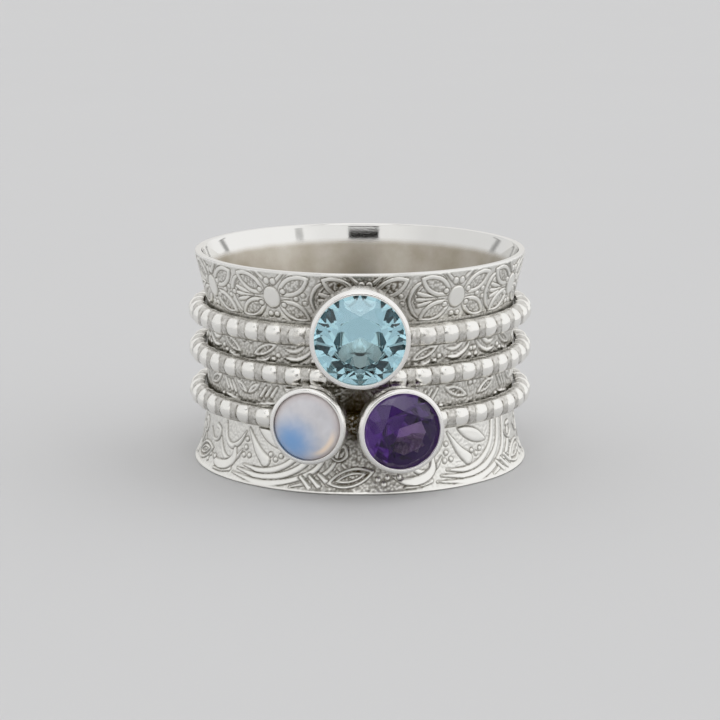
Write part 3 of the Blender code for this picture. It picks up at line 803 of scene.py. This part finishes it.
def draw_scroll(tile):
    """A drop and plain leaves over concentric ribbons, with crescents, bars and an almond leaf."""
    for points, width in SCROLL_RIBBONS:
        widths = [0.08] + [width] * (len(points) - 2) + [width * 0.8]
        tile.raise_face(tile.stroke(points, widths))
    tile.raise_strokes(SCROLL_CRESCENTS, (0.08, 0.26, 0.34, 0.26, 0.06))
    tile.raise_bars(SCROLL_BARS, (-0.28, 0.30), (0.32, -0.24), (0.24, 0.30))
    tile.raise_bars(SCROLL_HATCHES, (-0.25, 0.32), (0.25, -0.2), (0.14, 0.2))
    for points in SCROLL_CURLS:
        tile.raise_face(tile.stroke(points, np.linspace(0.10, 0.28, len(points))))
    tile.raise_face(tile.stroke(SCROLL_HOOK, (0.08, 0.42, 0.55, 0.50, 0.22)))
    tile.raise_dots(SCROLL_DOTS, 0.30, 0.30, LOW_FACE_LEVEL)
    almond = tile.leaf(*SCROLL_ALMOND)
    tile.raise_face(almond)
    tile.sink_grain(almond + ALMOND_BORDER, HEART_LEVEL)
    tile.raise_face(almond + ALMOND_HEART)
    tile.sink_grain(almond + ALMOND_PIT, HEART_LEVEL)
    tile.raise_face(tile.leaf(*SCROLL_LEAF))
    tile.raise_face(tile.stroke(*SCROLL_DROP))


# The channel's leaves, seen between the wires, their origin on the middle wire
CHANNEL_LEAVES = [
    ((0.15, 1.75), (2.1, 0.85), 0.66),
    ((-2.2, -1.80), (-0.3, -1.05), 0.66),
    ((1.55, -0.95), (2.65, -1.75), 0.42),
]
CHANNEL_LEAF_BORDER = 0.17
CHANNEL_DOTS = [(-2.5, 1.2), (-2.35, 0.8), (2.35, 1.75), (2.0, 2.0), (-2.45, -1.0), (2.45, -0.75),
                (2.05, -0.65), (0.05, 2.1), (-0.05, -2.2), (-1.55, 2.15), (0.1, 1.0), (0.45, 0.75)]
CHANNEL_STROKES = [
    [(0.75, 0.85), (1.1, 0.55), (1.9, 0.50)],
    [(-1.6, -0.75), (-0.9, -0.55), (0.0, -0.6)],
    [(0.2, -2.05), (0.9, -2.25), (1.9, -2.35)],
]
CHANNEL_CRESCENTS = [
    [(-2.45, 1.85), (-1.95, 1.20), (-1.10, 0.82), (-0.20, 1.00)],
    [(-1.95, 2.00), (-1.50, 1.58), (-0.95, 1.36), (-0.30, 1.55)],
]
CHANNEL_BARS = [(0.42, -1.40), (0.85, -1.45), (1.28, -1.50)]


def draw_channel(tile):
    """Leaves, crescents, bars and short strokes in two rows."""
    tile.raise_strokes(CHANNEL_STROKES, (0.06, 0.30, 0.12))
    tile.raise_strokes(CHANNEL_CRESCENTS, (0.06, 0.26, 0.30, 0.06))
    tile.raise_bars(CHANNEL_BARS, (-0.22, 0.34), (0.2, -0.3), (0.16, 0.24))
    tile.raise_dots(CHANNEL_DOTS, 0.34, 0.32)
    for shape in CHANNEL_LEAVES:
        leaf = tile.leaf(*shape)
        tile.raise_face(leaf)
        tile.sink_grain(leaf + CHANNEL_LEAF_BORDER, HEART_LEVEL)


# The band's three rings


def ring_mesh(name, patch, plain):
    """A closed ring: the patch's carved outside, rows going up, then plain rows round the rest."""
    count = len(patch.azimuths)
    carved = np.array([outer_radius(z) for z in patch.rows])[:, None] + patch.level
    rest = np.array(plain)
    radii = np.vstack([carved, np.repeat(rest[:, :1], count, axis=1)])
    heights = np.concatenate([patch.rows, rest[:, 1]])[:, None]
    turns = np.radians(patch.azimuths)
    points = np.stack([radii * np.sin(turns), -radii * np.cos(turns), heights + 0 * radii], axis=-1)
    points = points.reshape(-1, 3) * MM + (0.0, AXIS_Y, 0.0)
    index = np.arange(radii.size).reshape(radii.shape)
    above = np.roll(index, -1, axis=0)
    corners = [index, np.roll(index, -1, axis=1), np.roll(above, -1, axis=1), above]
    faces = np.stack(corners, axis=-1).reshape(-1, 4)
    mesh = bpy.data.meshes.new(name)
    mesh.from_pydata(points, [], faces)
    # Painted shade: the bore darkens deeper inside, away from both rims
    depth = np.minimum(rest[:, 1], BAND_WIDTH - rest[:, 1])
    bore_shade = BORE_PAINTED_SHADE * smooth_step((depth - BORE_UNSHADED_DEPTH) / BORE_SHADE_FADE)
    tarnish_and_shade = np.vstack([patch.tarnish_and_shade, bore_shade[:, None] + 0 * radii[len(patch.rows):]])
    held = mesh.attributes.new("tarnish_and_shade", "FLOAT", "POINT")
    held.data.foreach_set("value", tarnish_and_shade.ravel())
    add_patina_and_shade(mesh)
    inside = np.arange(len(radii)) >= len(patch.rows) - 1
    mesh.polygons.foreach_set("material_index", np.repeat(inside, count).astype(np.int32))
    mesh.materials.append(engraved_silver)
    mesh.materials.append(bore_silver)
    smooth_over(mesh, BAND_CREASE)
    return mesh


def inside_rows(start, end, step=PLAIN_ROW_STEP):
    """Points of the plain inner wall from one height to another."""
    return [(inner_radius(z), z) for z in even_rows(start, end, step)]


def draw_motifs(patch, azimuths, height, reach, draw, mirrors=(1.0,)):
    """Draw a motif at each azimuth of a patch, mirrored in turn where the mirrors say so."""
    for k, azimuth in enumerate(azimuths):
        tile = Tile(patch, azimuth, height, reach, mirrors[k % len(mirrors)])
        draw(tile)
        tile.press()


def smooth_rim(patch, depths):
    """Leave a patch plain next to the band's edge; each row lies at a depth below it."""
    whole = Tile(patch, 0.0, 0.0, ALL_ROUND)
    depths = depths[:, None] + 0 * whole.x
    whole.carve(depths - PLAIN_RIM, FACE_LEVEL, 0.0)
    whole.carve(depths - RIM_ROUNDING - RIM_STEP, 0.0, 0.0)
    whole.press()


def make_band():
    """The band in three closed rings: the upper flare, the channel's wall and the lower flare."""
    upper_edge = BAND_WIDTH - RIM_ROUNDING
    upper = Patch(FLARE_COLUMNS, even_rows(UPPER_SHOULDER_Z, upper_edge, ROW_STEP), CHART_RADIUS, seed=3)
    flowers = spread_azimuths(FLOWER_AZIMUTH, FLOWER_PITCH, FRONT_FLOWERS, FLOWERS)
    draw_motifs(upper, flowers, FLOWER_Z, FLOWER_REACH, draw_flower)
    smooth_rim(upper, BAND_WIDTH - upper.rows)
    upper_bore = inside_rows(upper_edge, UPPER_SHOULDER_Z, UPPER_BORE_ROW_STEP)

    rows = even_rows(RIM_ROUNDING, LOWER_SHOULDER_Z, ROW_STEP)
    lower = Patch(FLARE_COLUMNS, rows, CHART_RADIUS, seed=5)
    scrolls = spread_azimuths(0.0, SCROLL_PITCH, FRONT_SCROLLS, SCROLLS)
    draw_motifs(lower, scrolls, 0.0, SCROLL_REACH, draw_scroll)
    smooth_rim(lower, lower.rows)
    lower_bore = inside_rows(LOWER_SHOULDER_Z, RIM_ROUNDING)

    rows = even_rows(LOWER_SHOULDER_Z, UPPER_SHOULDER_Z, CHANNEL_ROW_STEP)
    channel = Patch(CHANNEL_COLUMNS, rows, CHANNEL_RADIUS, seed=7, least_age=CHANNEL_LEAST_AGE)
    leaves = [360.0 * k / CHANNEL_TILES for k in range(CHANNEL_TILES)]
    draw_motifs(channel, leaves, WIRE_Z["middle_ring"], CHANNEL_REACH, draw_channel, (1.0, -1.0))
    edges = np.abs(rows - (UPPER_SHOULDER_Z + LOWER_SHOULDER_Z) / 2)[:, None]
    channel.level *= smooth_step((UPPER_SHOULDER_Z - LOWER_SHOULDER_Z) / 2 - edges)

    for name, patch, plain in (
        ("upper_flare", upper, rim_rows(upper_edge, BAND_WIDTH) + upper_bore),
        ("lower_flare", lower, lower_bore + rim_rows(RIM_ROUNDING, 0.0)[::-1]),
        ("channel_wall", channel, inside_rows(UPPER_SHOULDER_Z, LOWER_SHOULDER_Z)),
    ):
        add_piece(name, ring_mesh(name, patch, plain), "band", ["wide_band"])


make_band()


# Beaded wires


WIRE_INPUTS = [
    ("Ring Radius", "Float", WIRE_RADIUS * MM),
    ("Bead Radius", "Float", BEAD_RADIUS * MM),
    ("Neck Radius", "Float", NECK_RADIUS * MM),
    ("Strip Radius", "Float", STRIP_RADIUS * MM),
    ("Back", "Float", WIRE_BACK * MM),
    ("Bead Share", "Float", BEAD_SHARE),
    ("Beads", "Int", BEADS),
    ("Stations", "Int", WIRE_STATIONS),
    ("Sides", "Int", WIRE_SIDES),
    ("Variation", "Float", BEAD_VARIATION),
    ("Seed", "Int", 0),
    ("Turn", "Vector", (0.0, 0.0, 0.0)),
    ("Centre", "Vector", (0.0, 0.0, 0.0)),
    ("Material", "Material", None),
]


def make_wire_tree():
    """Geometry nodes that bend a flat-backed strip round a circle and raise a row of domes on it."""
    tree, given, result = new_group(
        "beaded_wire", "GeometryNodeTree", WIRE_INPUTS, [("Wire", "Geometry")]
    )
    tree.is_modifier = True
    maths = partial(calculate, tree)

    # Round the circle: how far each bead's dome rises, and where the notches beside it lie
    circle = add_node(
        tree, "GeometryNodeCurvePrimitiveCircle",
        {"Resolution": maths("MULTIPLY", given["Beads"], given["Stations"]),
         "Radius": given["Ring Radius"]},
    ).outputs["Curve"]
    index = add_node(tree, "GeometryNodeInputIndex").outputs["Index"]
    along = maths("DIVIDE", index, given["Stations"])
    bead = maths("FLOOR", along)
    share = maths("SUBTRACT", along, bead)
    off = maths("ABSOLUTE", maths("MULTIPLY_ADD", share, 2.0, -1.0))
    random = add_node(tree, "FunctionNodeRandomValue", {"ID": bead, "Seed": given["Seed"]})
    tree.links.new(maths("SUBTRACT", 1.0, given["Variation"]), random.inputs[2])
    tree.links.new(maths("ADD", 1.0, given["Variation"]), random.inputs[3])
    size = maths("MULTIPLY", given["Bead Radius"], random.outputs[1])
    reach = maths("MINIMUM", maths("DIVIDE", off, given["Bead Share"]), 1.0)
    left = maths("SUBTRACT", 1.0, maths("POWER", reach, BEAD_SQUARENESS))
    swell = maths("MULTIPLY", size, maths("POWER", left, 1 / BEAD_SQUARENESS))
    from_notch = maths("ABSOLUTE", maths("SUBTRACT", off, NOTCH_PLACE))
    notch = map_range(tree, from_notch, NOTCH_REACH, 0.0, smooth=True)
    captured = add_node(tree, "GeometryNodeCaptureAttribute", {"Geometry": circle}, domain="POINT")
    for label, value in (("Dome", swell), ("Notch", notch)):
        captured.capture_items.new("FLOAT", label)
        tree.links.new(value, captured.inputs[label])
    dome = captured.outputs["Dome"]
    profile = add_node(
        tree, "GeometryNodeCurvePrimitiveCircle",
        {"Resolution": given["Sides"], "Radius": given["Bead Radius"]},
    ).outputs["Curve"]
    swept = add_node(
        tree, "GeometryNodeCurveToMesh",
        {"Curve": captured.outputs["Geometry"], "Profile Curve": profile},
    ).outputs["Mesh"]

    # Round the section: the strip or the dome, whichever reaches further
    place = add_node(tree, "GeometryNodeInputPosition").outputs[0]
    parts = add_node(tree, "ShaderNodeSeparateXYZ", {0: place}).outputs
    level = add_node(tree, "ShaderNodeCombineXYZ", {"X": parts["X"], "Y": parts["Y"]}).outputs[0]
    ring_reach = add_node(tree, "ShaderNodeVectorMath", {0: level}, operation="LENGTH").outputs["Value"]
    outwards = maths("SUBTRACT", ring_reach, given["Ring Radius"])
    outwards = maths("DIVIDE", outwards, given["Bead Radius"])
    upwards = maths("DIVIDE", parts["Z"], given["Bead Radius"])
    facing = maths("MAXIMUM", outwards, 0.0)
    pit = maths("MULTIPLY", captured.outputs["Notch"], maths("MULTIPLY", facing, facing))
    over = maths("DIVIDE", outwards, given["Neck Radius"])
    aside = maths("DIVIDE", upwards, given["Strip Radius"])
    squares = maths("MULTIPLY_ADD", over, over, maths("MULTIPLY", aside, aside))
    whole_strip = maths("INVERSE_SQRT", squares)
    strip = maths("MULTIPLY", whole_strip, maths("MULTIPLY_ADD", pit, -NOTCH_DEPTH, 1.0))
    section = maths("MAXIMUM", strip, dome)
    rise = maths("DIVIDE", maths("SUBTRACT", dome, strip), MM)
    bare = map_range(tree, rise, STRIP_EDGE, -STRIP_EDGE, 0.0, STRIP_TARNISH)
    marked = add_node(
        tree, "GeometryNodeStoreNamedAttribute",
        {"Geometry": swept, "Name": "tarnish_and_shade",
         "Value": maths("MULTIPLY_ADD", maths("MULTIPLY", pit, bare), NOTCH_TARNISH, bare)},
        data_type="FLOAT", domain="POINT",
    ).outputs[0]
    back = maths("MULTIPLY", given["Back"], -1.0)
    pushed = maths("MAXIMUM", maths("MULTIPLY", outwards, section), back)
    pushed = maths("DIVIDE", maths("ADD", pushed, given["Ring Radius"]), ring_reach)
    moved = add_node(
        tree, "ShaderNodeCombineXYZ",
        {"X": maths("MULTIPLY", parts["X"], pushed), "Y": maths("MULTIPLY", parts["Y"], pushed),
         "Z": maths("MULTIPLY", upwards, section)},
    ).outputs[0]
    wire = marked
    for kind, inputs in (
        ("GeometryNodeSetPosition", {"Position": moved}),
        ("GeometryNodeTransform", {"Translation": given["Centre"], "Rotation": given["Turn"]}),
        ("GeometryNodeSetShadeSmooth", {}),
        ("GeometryNodeRealizeInstances", {}),
        ("GeometryNodeSetMaterial", {"Material": given["Material"]}),
    ):
        wire = add_node(tree, kind, {"Geometry": wire, **inputs}).outputs[0]
    tree.links.new(wire, result["Wire"])
    return tree


wire_tree = make_wire_tree()


def beaded_wire(body, seed):
    """One beaded wire as an object with a plain mesh."""
    thing = place_object(body + "_wire", bpy.data.meshes.new("wire"))
    change = thing.modifiers.new("beads", "NODES")
    change.node_group = wire_tree
    first_bead = 90.0 + 180.0 / BEADS
    values = {name: value for name, _, value in WIRE_INPUTS}
    values.update({
        "Seed": seed,
        "Turn": (0.0, 0.0, radians(BEAD_PHASES[body] - first_bead)),
        "Centre": (0.0, AXIS_Y, WIRE_Z[body] * MM),
        "Material": bead_silver,
    })
    for item in wire_tree.interface.items_tree:
        if item.in_out == "INPUT":
            change[item.identifier] = values[item.name]
    return place_object(body + "_wire", bake(thing, body + "_wire"))


# Settings and stones


def ring_of_points(bm, radius, height, count, offset):
    """Points spaced evenly round Z, the first one turned by a share of their pitch."""
    turns = [2 * pi * (k + offset) / count for k in range(count)]
    return [bm.verts.new((radius * cos(t), radius * sin(t), height)) for t in turns]


def turned_mesh(name, profile, segments, offset=0.0):
    """Spin (radius, height) points about Z into a closed mesh; points on the axis close its ends."""
    bm = bmesh.new()
    rows = [ring_of_points(bm, radius, height, segments if radius else 1, offset)
            for radius, height in profile]
    for lower, upper in zip(rows, rows[1:]):
        for k in range(segments):
            after = (k + 1) % segments
            corners = [lower[k % len(lower)], lower[after % len(lower)]]
            corners += [upper[after % len(upper)], upper[k % len(upper)]]
            bm.faces.new(list(dict.fromkeys(corners)))
    return finish_mesh(bm, name)


def stone_height(stone):
    """How high the stone's middle stands above the floor."""
    low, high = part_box(stone["name"])
    return (low.z + high.z) / 2 / MM


def placement(stone):
    """From millimetres in the setting, +Z out of the ring's axis, to metres in the frame."""
    middle = Matrix.Translation((0.0, AXIS_Y, stone_height(stone) * MM))
    turn = Matrix.Rotation(radians(stone["azimuth"]), 4, "Z") @ Matrix.Rotation(pi / 2, 4, "X")
    return middle @ turn @ Matrix.Scale(MM, 4)


def rounded(points_per_corner, centre, radius, start, end):
    """Points of an arc in a profile, from one angle in degrees to another."""
    turns = np.radians(np.linspace(start, end, points_per_corner))
    return [(centre[0] + radius * cos(t), centre[1] + radius * sin(t)) for t in turns]


def seat_profile(stone):
    """The hollow that holds a stone: its seat, the undercut and the rounded mouth of the lip."""
    face = SETTING_BASE + stone["wall"]
    reach = stone["radius"] + STONE_GAP
    mouth = stone["radius"] - LIP_OVERLAP
    if "pavilion" in stone:
        girdle = face - LIP_THICKNESS - 2 * STONE_GAP
        below = girdle - GIRDLE - STONE_GAP
        floor = [(0.0, below - stone["pavilion"] / stone["radius"] * reach), (reach, below)]
    else:
        under_lip = stone["dome"] * sqrt(1 - (mouth / stone["radius"]) ** 2)
        girdle = face - LIP_THICKNESS - STONE_GAP - under_lip
        low = girdle - stone["base"] - STONE_GAP
        floor = [(0.0, low), (reach, low)]
    soft = MOUTH_ROUNDING
    flare = rounded(5, (mouth + soft, face - soft), soft, 180, 90)
    walls = [(reach, face - LIP_THICKNESS), (mouth, face - LIP_THICKNESS), *flare]
    top = [(flare[-1][0], face + CUTTER_REACH), (0.0, face + CUTTER_REACH)]
    return girdle, floor + walls + top


def make_setting(stone, seat):
    """A bezel cup with a rounded lip on its narrow saddle, hollowed for the stone."""
    face = SETTING_BASE + stone["wall"]
    outer = stone["radius"] + STONE_GAP + BEZEL_WALL + BEZEL_SWELL
    profile = [(0.0, SETTING_BASE), (outer - FOOT_CHAMFER, SETTING_BASE),
               (outer, SETTING_BASE + FOOT_CHAMFER)]
    for radius, height in rounded(9, (0.0, 0.0), 1.0, 0, 90):
        profile.append((outer + (radius - 1) * LIP_ROUNDING, face + (height - 1) * LIP_SLOPE))
    profile.append((0.0, face))
    cup = place_object("cup", turned_mesh("cup", profile, SETTING_SEGMENTS, 0.5))
    cup.data.materials.append(bezel_silver)
    cup.data.transform(placement(stone))

    bm = bmesh.new()
    bmesh.ops.create_cube(bm, size=1.0)
    depth = SETTING_BASE + SADDLE_BITE - WIRE_RADIUS
    for vert in bm.verts:
        vert.co.x *= SADDLE_LENGTH
        vert.co.y = vert.co.y * SADDLE_WIDTH + WIRE_Z[stone["body"]] - stone_height(stone)
        vert.co.z = WIRE_RADIUS + depth * (vert.co.z + 0.5)
    bmesh.ops.bevel(bm, geom=bm.edges[:], offset=SADDLE_ROUNDING, segments=3, affect="EDGES")
    saddle = place_object("saddle", finish_mesh(bm, "saddle"))
    saddle.data.materials.append(bezel_silver)
    saddle.data.transform(placement(stone))

    combine(cup, saddle, "UNION")
    combine(cup, seat, "DIFFERENCE")
    name = stone["name"] + "_bezel"
    mesh = bake(cup, name)
    bpy.data.objects.remove(saddle)
    smooth_over(mesh, SETTING_CREASE)
    add_piece(name, mesh, stone["body"])


def brilliant_mesh(stone):
    """A round brilliant: table, stars, kites, girdle facets, lower halves and mains."""
    bm = bmesh.new()
    radius, crown, pavilion = stone["radius"], stone["crown"], stone["pavilion"]
    table = radius * TABLE_SHARE
    star = radius * STAR_SHARE
    lower = radius * LOWER_HALF_SHARE
    half_step = cos(pi / 8)
    star_z = crown * (radius - star * half_step) / (radius - table)
    lower_z = -pavilion * (radius - lower * half_step) / radius
    tables = ring_of_points(bm, table, crown, 8, 0.0)
    stars = ring_of_points(bm, star, star_z, 8, 0.5)
    upper = ring_of_points(bm, radius, 0.0, 16, 0.0)
    under = ring_of_points(bm, radius, -GIRDLE, 16, 0.0)
    lowers = ring_of_points(bm, lower, lower_z - GIRDLE, 8, 0.5)
    culet = bm.verts.new((0.0, 0.0, -pavilion - GIRDLE))
    bm.faces.new(tables)
    for k in range(8):
        before, after = k - 1, (k + 1) % 8
        main, side, next_main = 2 * k, 2 * k + 1, (2 * k + 2) % 16
        bm.faces.new((tables[k], stars[k], tables[after]))
        bm.faces.new((tables[k], stars[before], upper[main], stars[k]))
        bm.faces.new((stars[k], upper[main], upper[side]))
        bm.faces.new((stars[k], upper[side], upper[next_main]))
        bm.faces.new((upper[main], under[main], under[side], upper[side]))
        bm.faces.new((upper[side], under[side], under[next_main], upper[next_main]))
        bm.faces.new((lowers[k], under[side], under[main]))
        bm.faces.new((lowers[k], under[next_main], under[side]))
        bm.faces.new((culet, lowers[k], under[main], lowers[before]))
    return finish_mesh(bm, stone["name"] + "_brilliant")


def cabochon_mesh(stone):
    """A low smooth dome on an upright girdle, which remembers where each point lies on it."""
    radius, dome, base = stone["radius"], stone["dome"], stone["base"]
    profile = [(0.0, -base), (radius - FOOT_CHAMFER, -base), (radius, -base + FOOT_CHAMFER)]
    for k in range(CABOCHON_RINGS):
        turn = pi / 2 * k / CABOCHON_RINGS
        profile.append((radius * cos(turn), dome * sin(turn)))
    profile.append((0.0, dome))
    mesh = turned_mesh(stone["name"] + "_cabochon", profile, CABOCHON_SEGMENTS)
    spot = mesh.attributes.new("spot", "FLOAT_VECTOR", "POINT")
    places = np.array([(v.co.x / radius, v.co.y / radius, 0.0) for v in mesh.vertices])
    spot.data.foreach_set("vector", places.ravel())
    mesh.shade_smooth()
    return mesh


def set_stone(stone, mesh, girdle, glass):
    """Put a stone's mesh in its setting, its girdle at the given distance from the ring's axis."""
    mesh.transform(placement(stone) @ Matrix.Translation((0.0, 0.0, girdle)))
    mesh.materials.append(glass)
    add_piece(mesh.name, mesh, stone["body"], [stone["name"]])


def make_rings():
    """The three turning rings: beaded wires, bezel settings and stones."""
    wires = {body: beaded_wire(body, seed) for seed, body in enumerate(BEAD_PHASES, start=11)}
    seats = []
    for stone, cut, glass, slot in (
        (TOPAZ, brilliant_mesh, topaz_glass, "blue_topaz"),
        (MOONSTONE, cabochon_mesh, moonstone_milk, "milky_moonstone"),
        (AMETHYST, brilliant_mesh, amethyst_glass, "purple_amethyst"),
    ):
        girdle, profile = seat_profile(stone)
        seat = place_object("seat", turned_mesh("seat", profile, SETTING_SEGMENTS))
        seat.data.materials.append(make_seat_silver(stone))
        seat.data.transform(placement(stone))
        seats.append(seat)
        make_setting(stone, seat)
        set_stone(stone, cut(stone), girdle, glass)
        combine(wires[stone["body"]], seat, "DIFFERENCE")
    for body, wire in wires.items():
        name = body.replace("ring", "beaded_wire")
        mesh = bake(wire, name)
        add_patina_and_shade(mesh)
        smooth_over(mesh, WIRE_CREASE)
        add_piece(name, mesh, body, [body.replace("ring", "spinner")])
    for seat in seats:
        bpy.data.objects.remove(seat)


make_rings()


# Floor, light and camera

FLOOR_REACH = 3.0
FLOOR_COLOUR = (0.63, 0.63, 0.635)
FLOOR_SHADE = 0.985
CAMERA_DISTANCE = 152.51
CAMERA_ELEVATION = 11.86
CAMERA_TARGET_Z = 6.363
LENS = 114.15
SENSOR = 36.0


def make_floor():
    """A wide plain pale floor."""
    mesh = bpy.data.meshes.new("floor")
    reach = FLOOR_REACH
    corners = [(-reach, -reach, 0.0), (reach, -reach, 0.0), (reach, reach, 0.0), (-reach, reach, 0.0)]
    mesh.from_pydata(corners, [], [(0, 1, 2, 3)])
    material, tree, shader = new_material("pale_floor", {"Roughness": 0.9, "Specular IOR Level": 0.1})
    place = add_node(tree, "ShaderNodeTexCoord").outputs["Object"]
    cloud = add_noise(tree, place, 30.0, 4.0)
    shade = tuple(FLOOR_SHADE * c for c in FLOOR_COLOUR)
    colour = mix_colours(tree, cloud, (*FLOOR_COLOUR, 1.0), (*shade, 1.0))
    tree.links.new(colour, shader["Base Color"])
    mesh.materials.append(material)
    floor = place_object("floor", mesh)


# What the studio shows round the ring: where each card lies in degrees from the front and above
# the horizon, its half width and half height, how softly it ends, and its light
STUDIO_CARDS = [
    ((0.0, 62.0), (75.0, 14.0), 12.0, 2.0),
    ((95.0, 25.0), (35.0, 25.0), 35.0, 1.15),
    ((-95.0, 25.0), (35.0, 25.0), 35.0, 0.86),
    ((0.0, 13.0), (12.0, 7.0), 3.0, 0.06),
    ((-40.0, 58.0), (7.0, 16.0), 4.0, 0.10),
    ((40.0, 58.0), (7.0, 16.0), 4.0, 0.10),
    ((-3.0, 29.5), (12.0, 1.0), 0.6, 0.03),
    ((50.0, 27.0), (2.5, 0.8), 1.5, 0.65),
    ((-126.0, 10.5), (7.0, 0.3), 1.2, 0.40),
    ((128.0, 10.5), (7.0, 0.3), 1.2, 0.40),
]
STUDIO_LOW = (0.86, 0.85, 0.83)
STUDIO_HIGH = (1.0, 1.0, 1.0)


def make_world():
    """A white studio with lit and dark cards round the ring."""
    world = bpy.data.worlds.new("studio")
    bpy.context.scene.world = world
    world.use_nodes = True
    tree = world.node_tree
    backdrop = tree.nodes["Background"]
    parts = add_node(
        tree, "ShaderNodeSeparateXYZ", {0: add_node(tree, "ShaderNodeTexCoord").outputs["Generated"]}
    ).outputs
    maths = partial(calculate, tree)
    to_front = maths("MULTIPLY", parts["Y"], -1.0)
    azimuth = maths("DEGREES", maths("ARCTAN2", parts["X"], to_front))
    elevation = maths("DEGREES", maths("ARCSINE", parts["Z"]))
    high = map_range(tree, elevation, 5.0, 30.0, smooth=True)
    shade = mix_colours(tree, high, (*STUDIO_LOW, 1.0), (*STUDIO_HIGH, 1.0))
    for (card_azimuth, card_elevation), (half_width, half_height), soft, light in STUDIO_CARDS:
        aside = maths("WRAP", maths("SUBTRACT", azimuth, card_azimuth), 180.0, -180.0)
        above = maths("SUBTRACT", elevation, card_elevation)
        share = 1.0
        for away, half in ((aside, half_width), (above, half_height)):
            inside = map_range(tree, maths("ABSOLUTE", away), half + soft, half, smooth=True)
            share = maths("MULTIPLY", share, inside)
        shade = mix_colours(tree, share, shade, (light, light, light, 1.0))
    tree.links.new(shade, backdrop.inputs["Color"])


def make_camera():
    """The photograph's view: low in front of the ring and close to it."""
    data = bpy.data.cameras.new("camera")
    data.lens = LENS
    data.sensor_width = SENSOR
    data.clip_start = 0.005
    data.clip_end = 20.0
    camera = place_object("camera", data)
    lift = radians(CAMERA_ELEVATION)
    reach = CAMERA_DISTANCE * MM
    camera.location = (0.0, AXIS_Y - reach * cos(lift), CAMERA_TARGET_Z * MM + reach * sin(lift))
    camera.rotation_euler = (pi / 2 - lift, 0.0, 0.0)
    bpy.context.scene.camera = camera


make_floor()
make_world()
make_camera()
bpy.context.scene.view_settings.view_transform = "Khronos PBR Neutral"
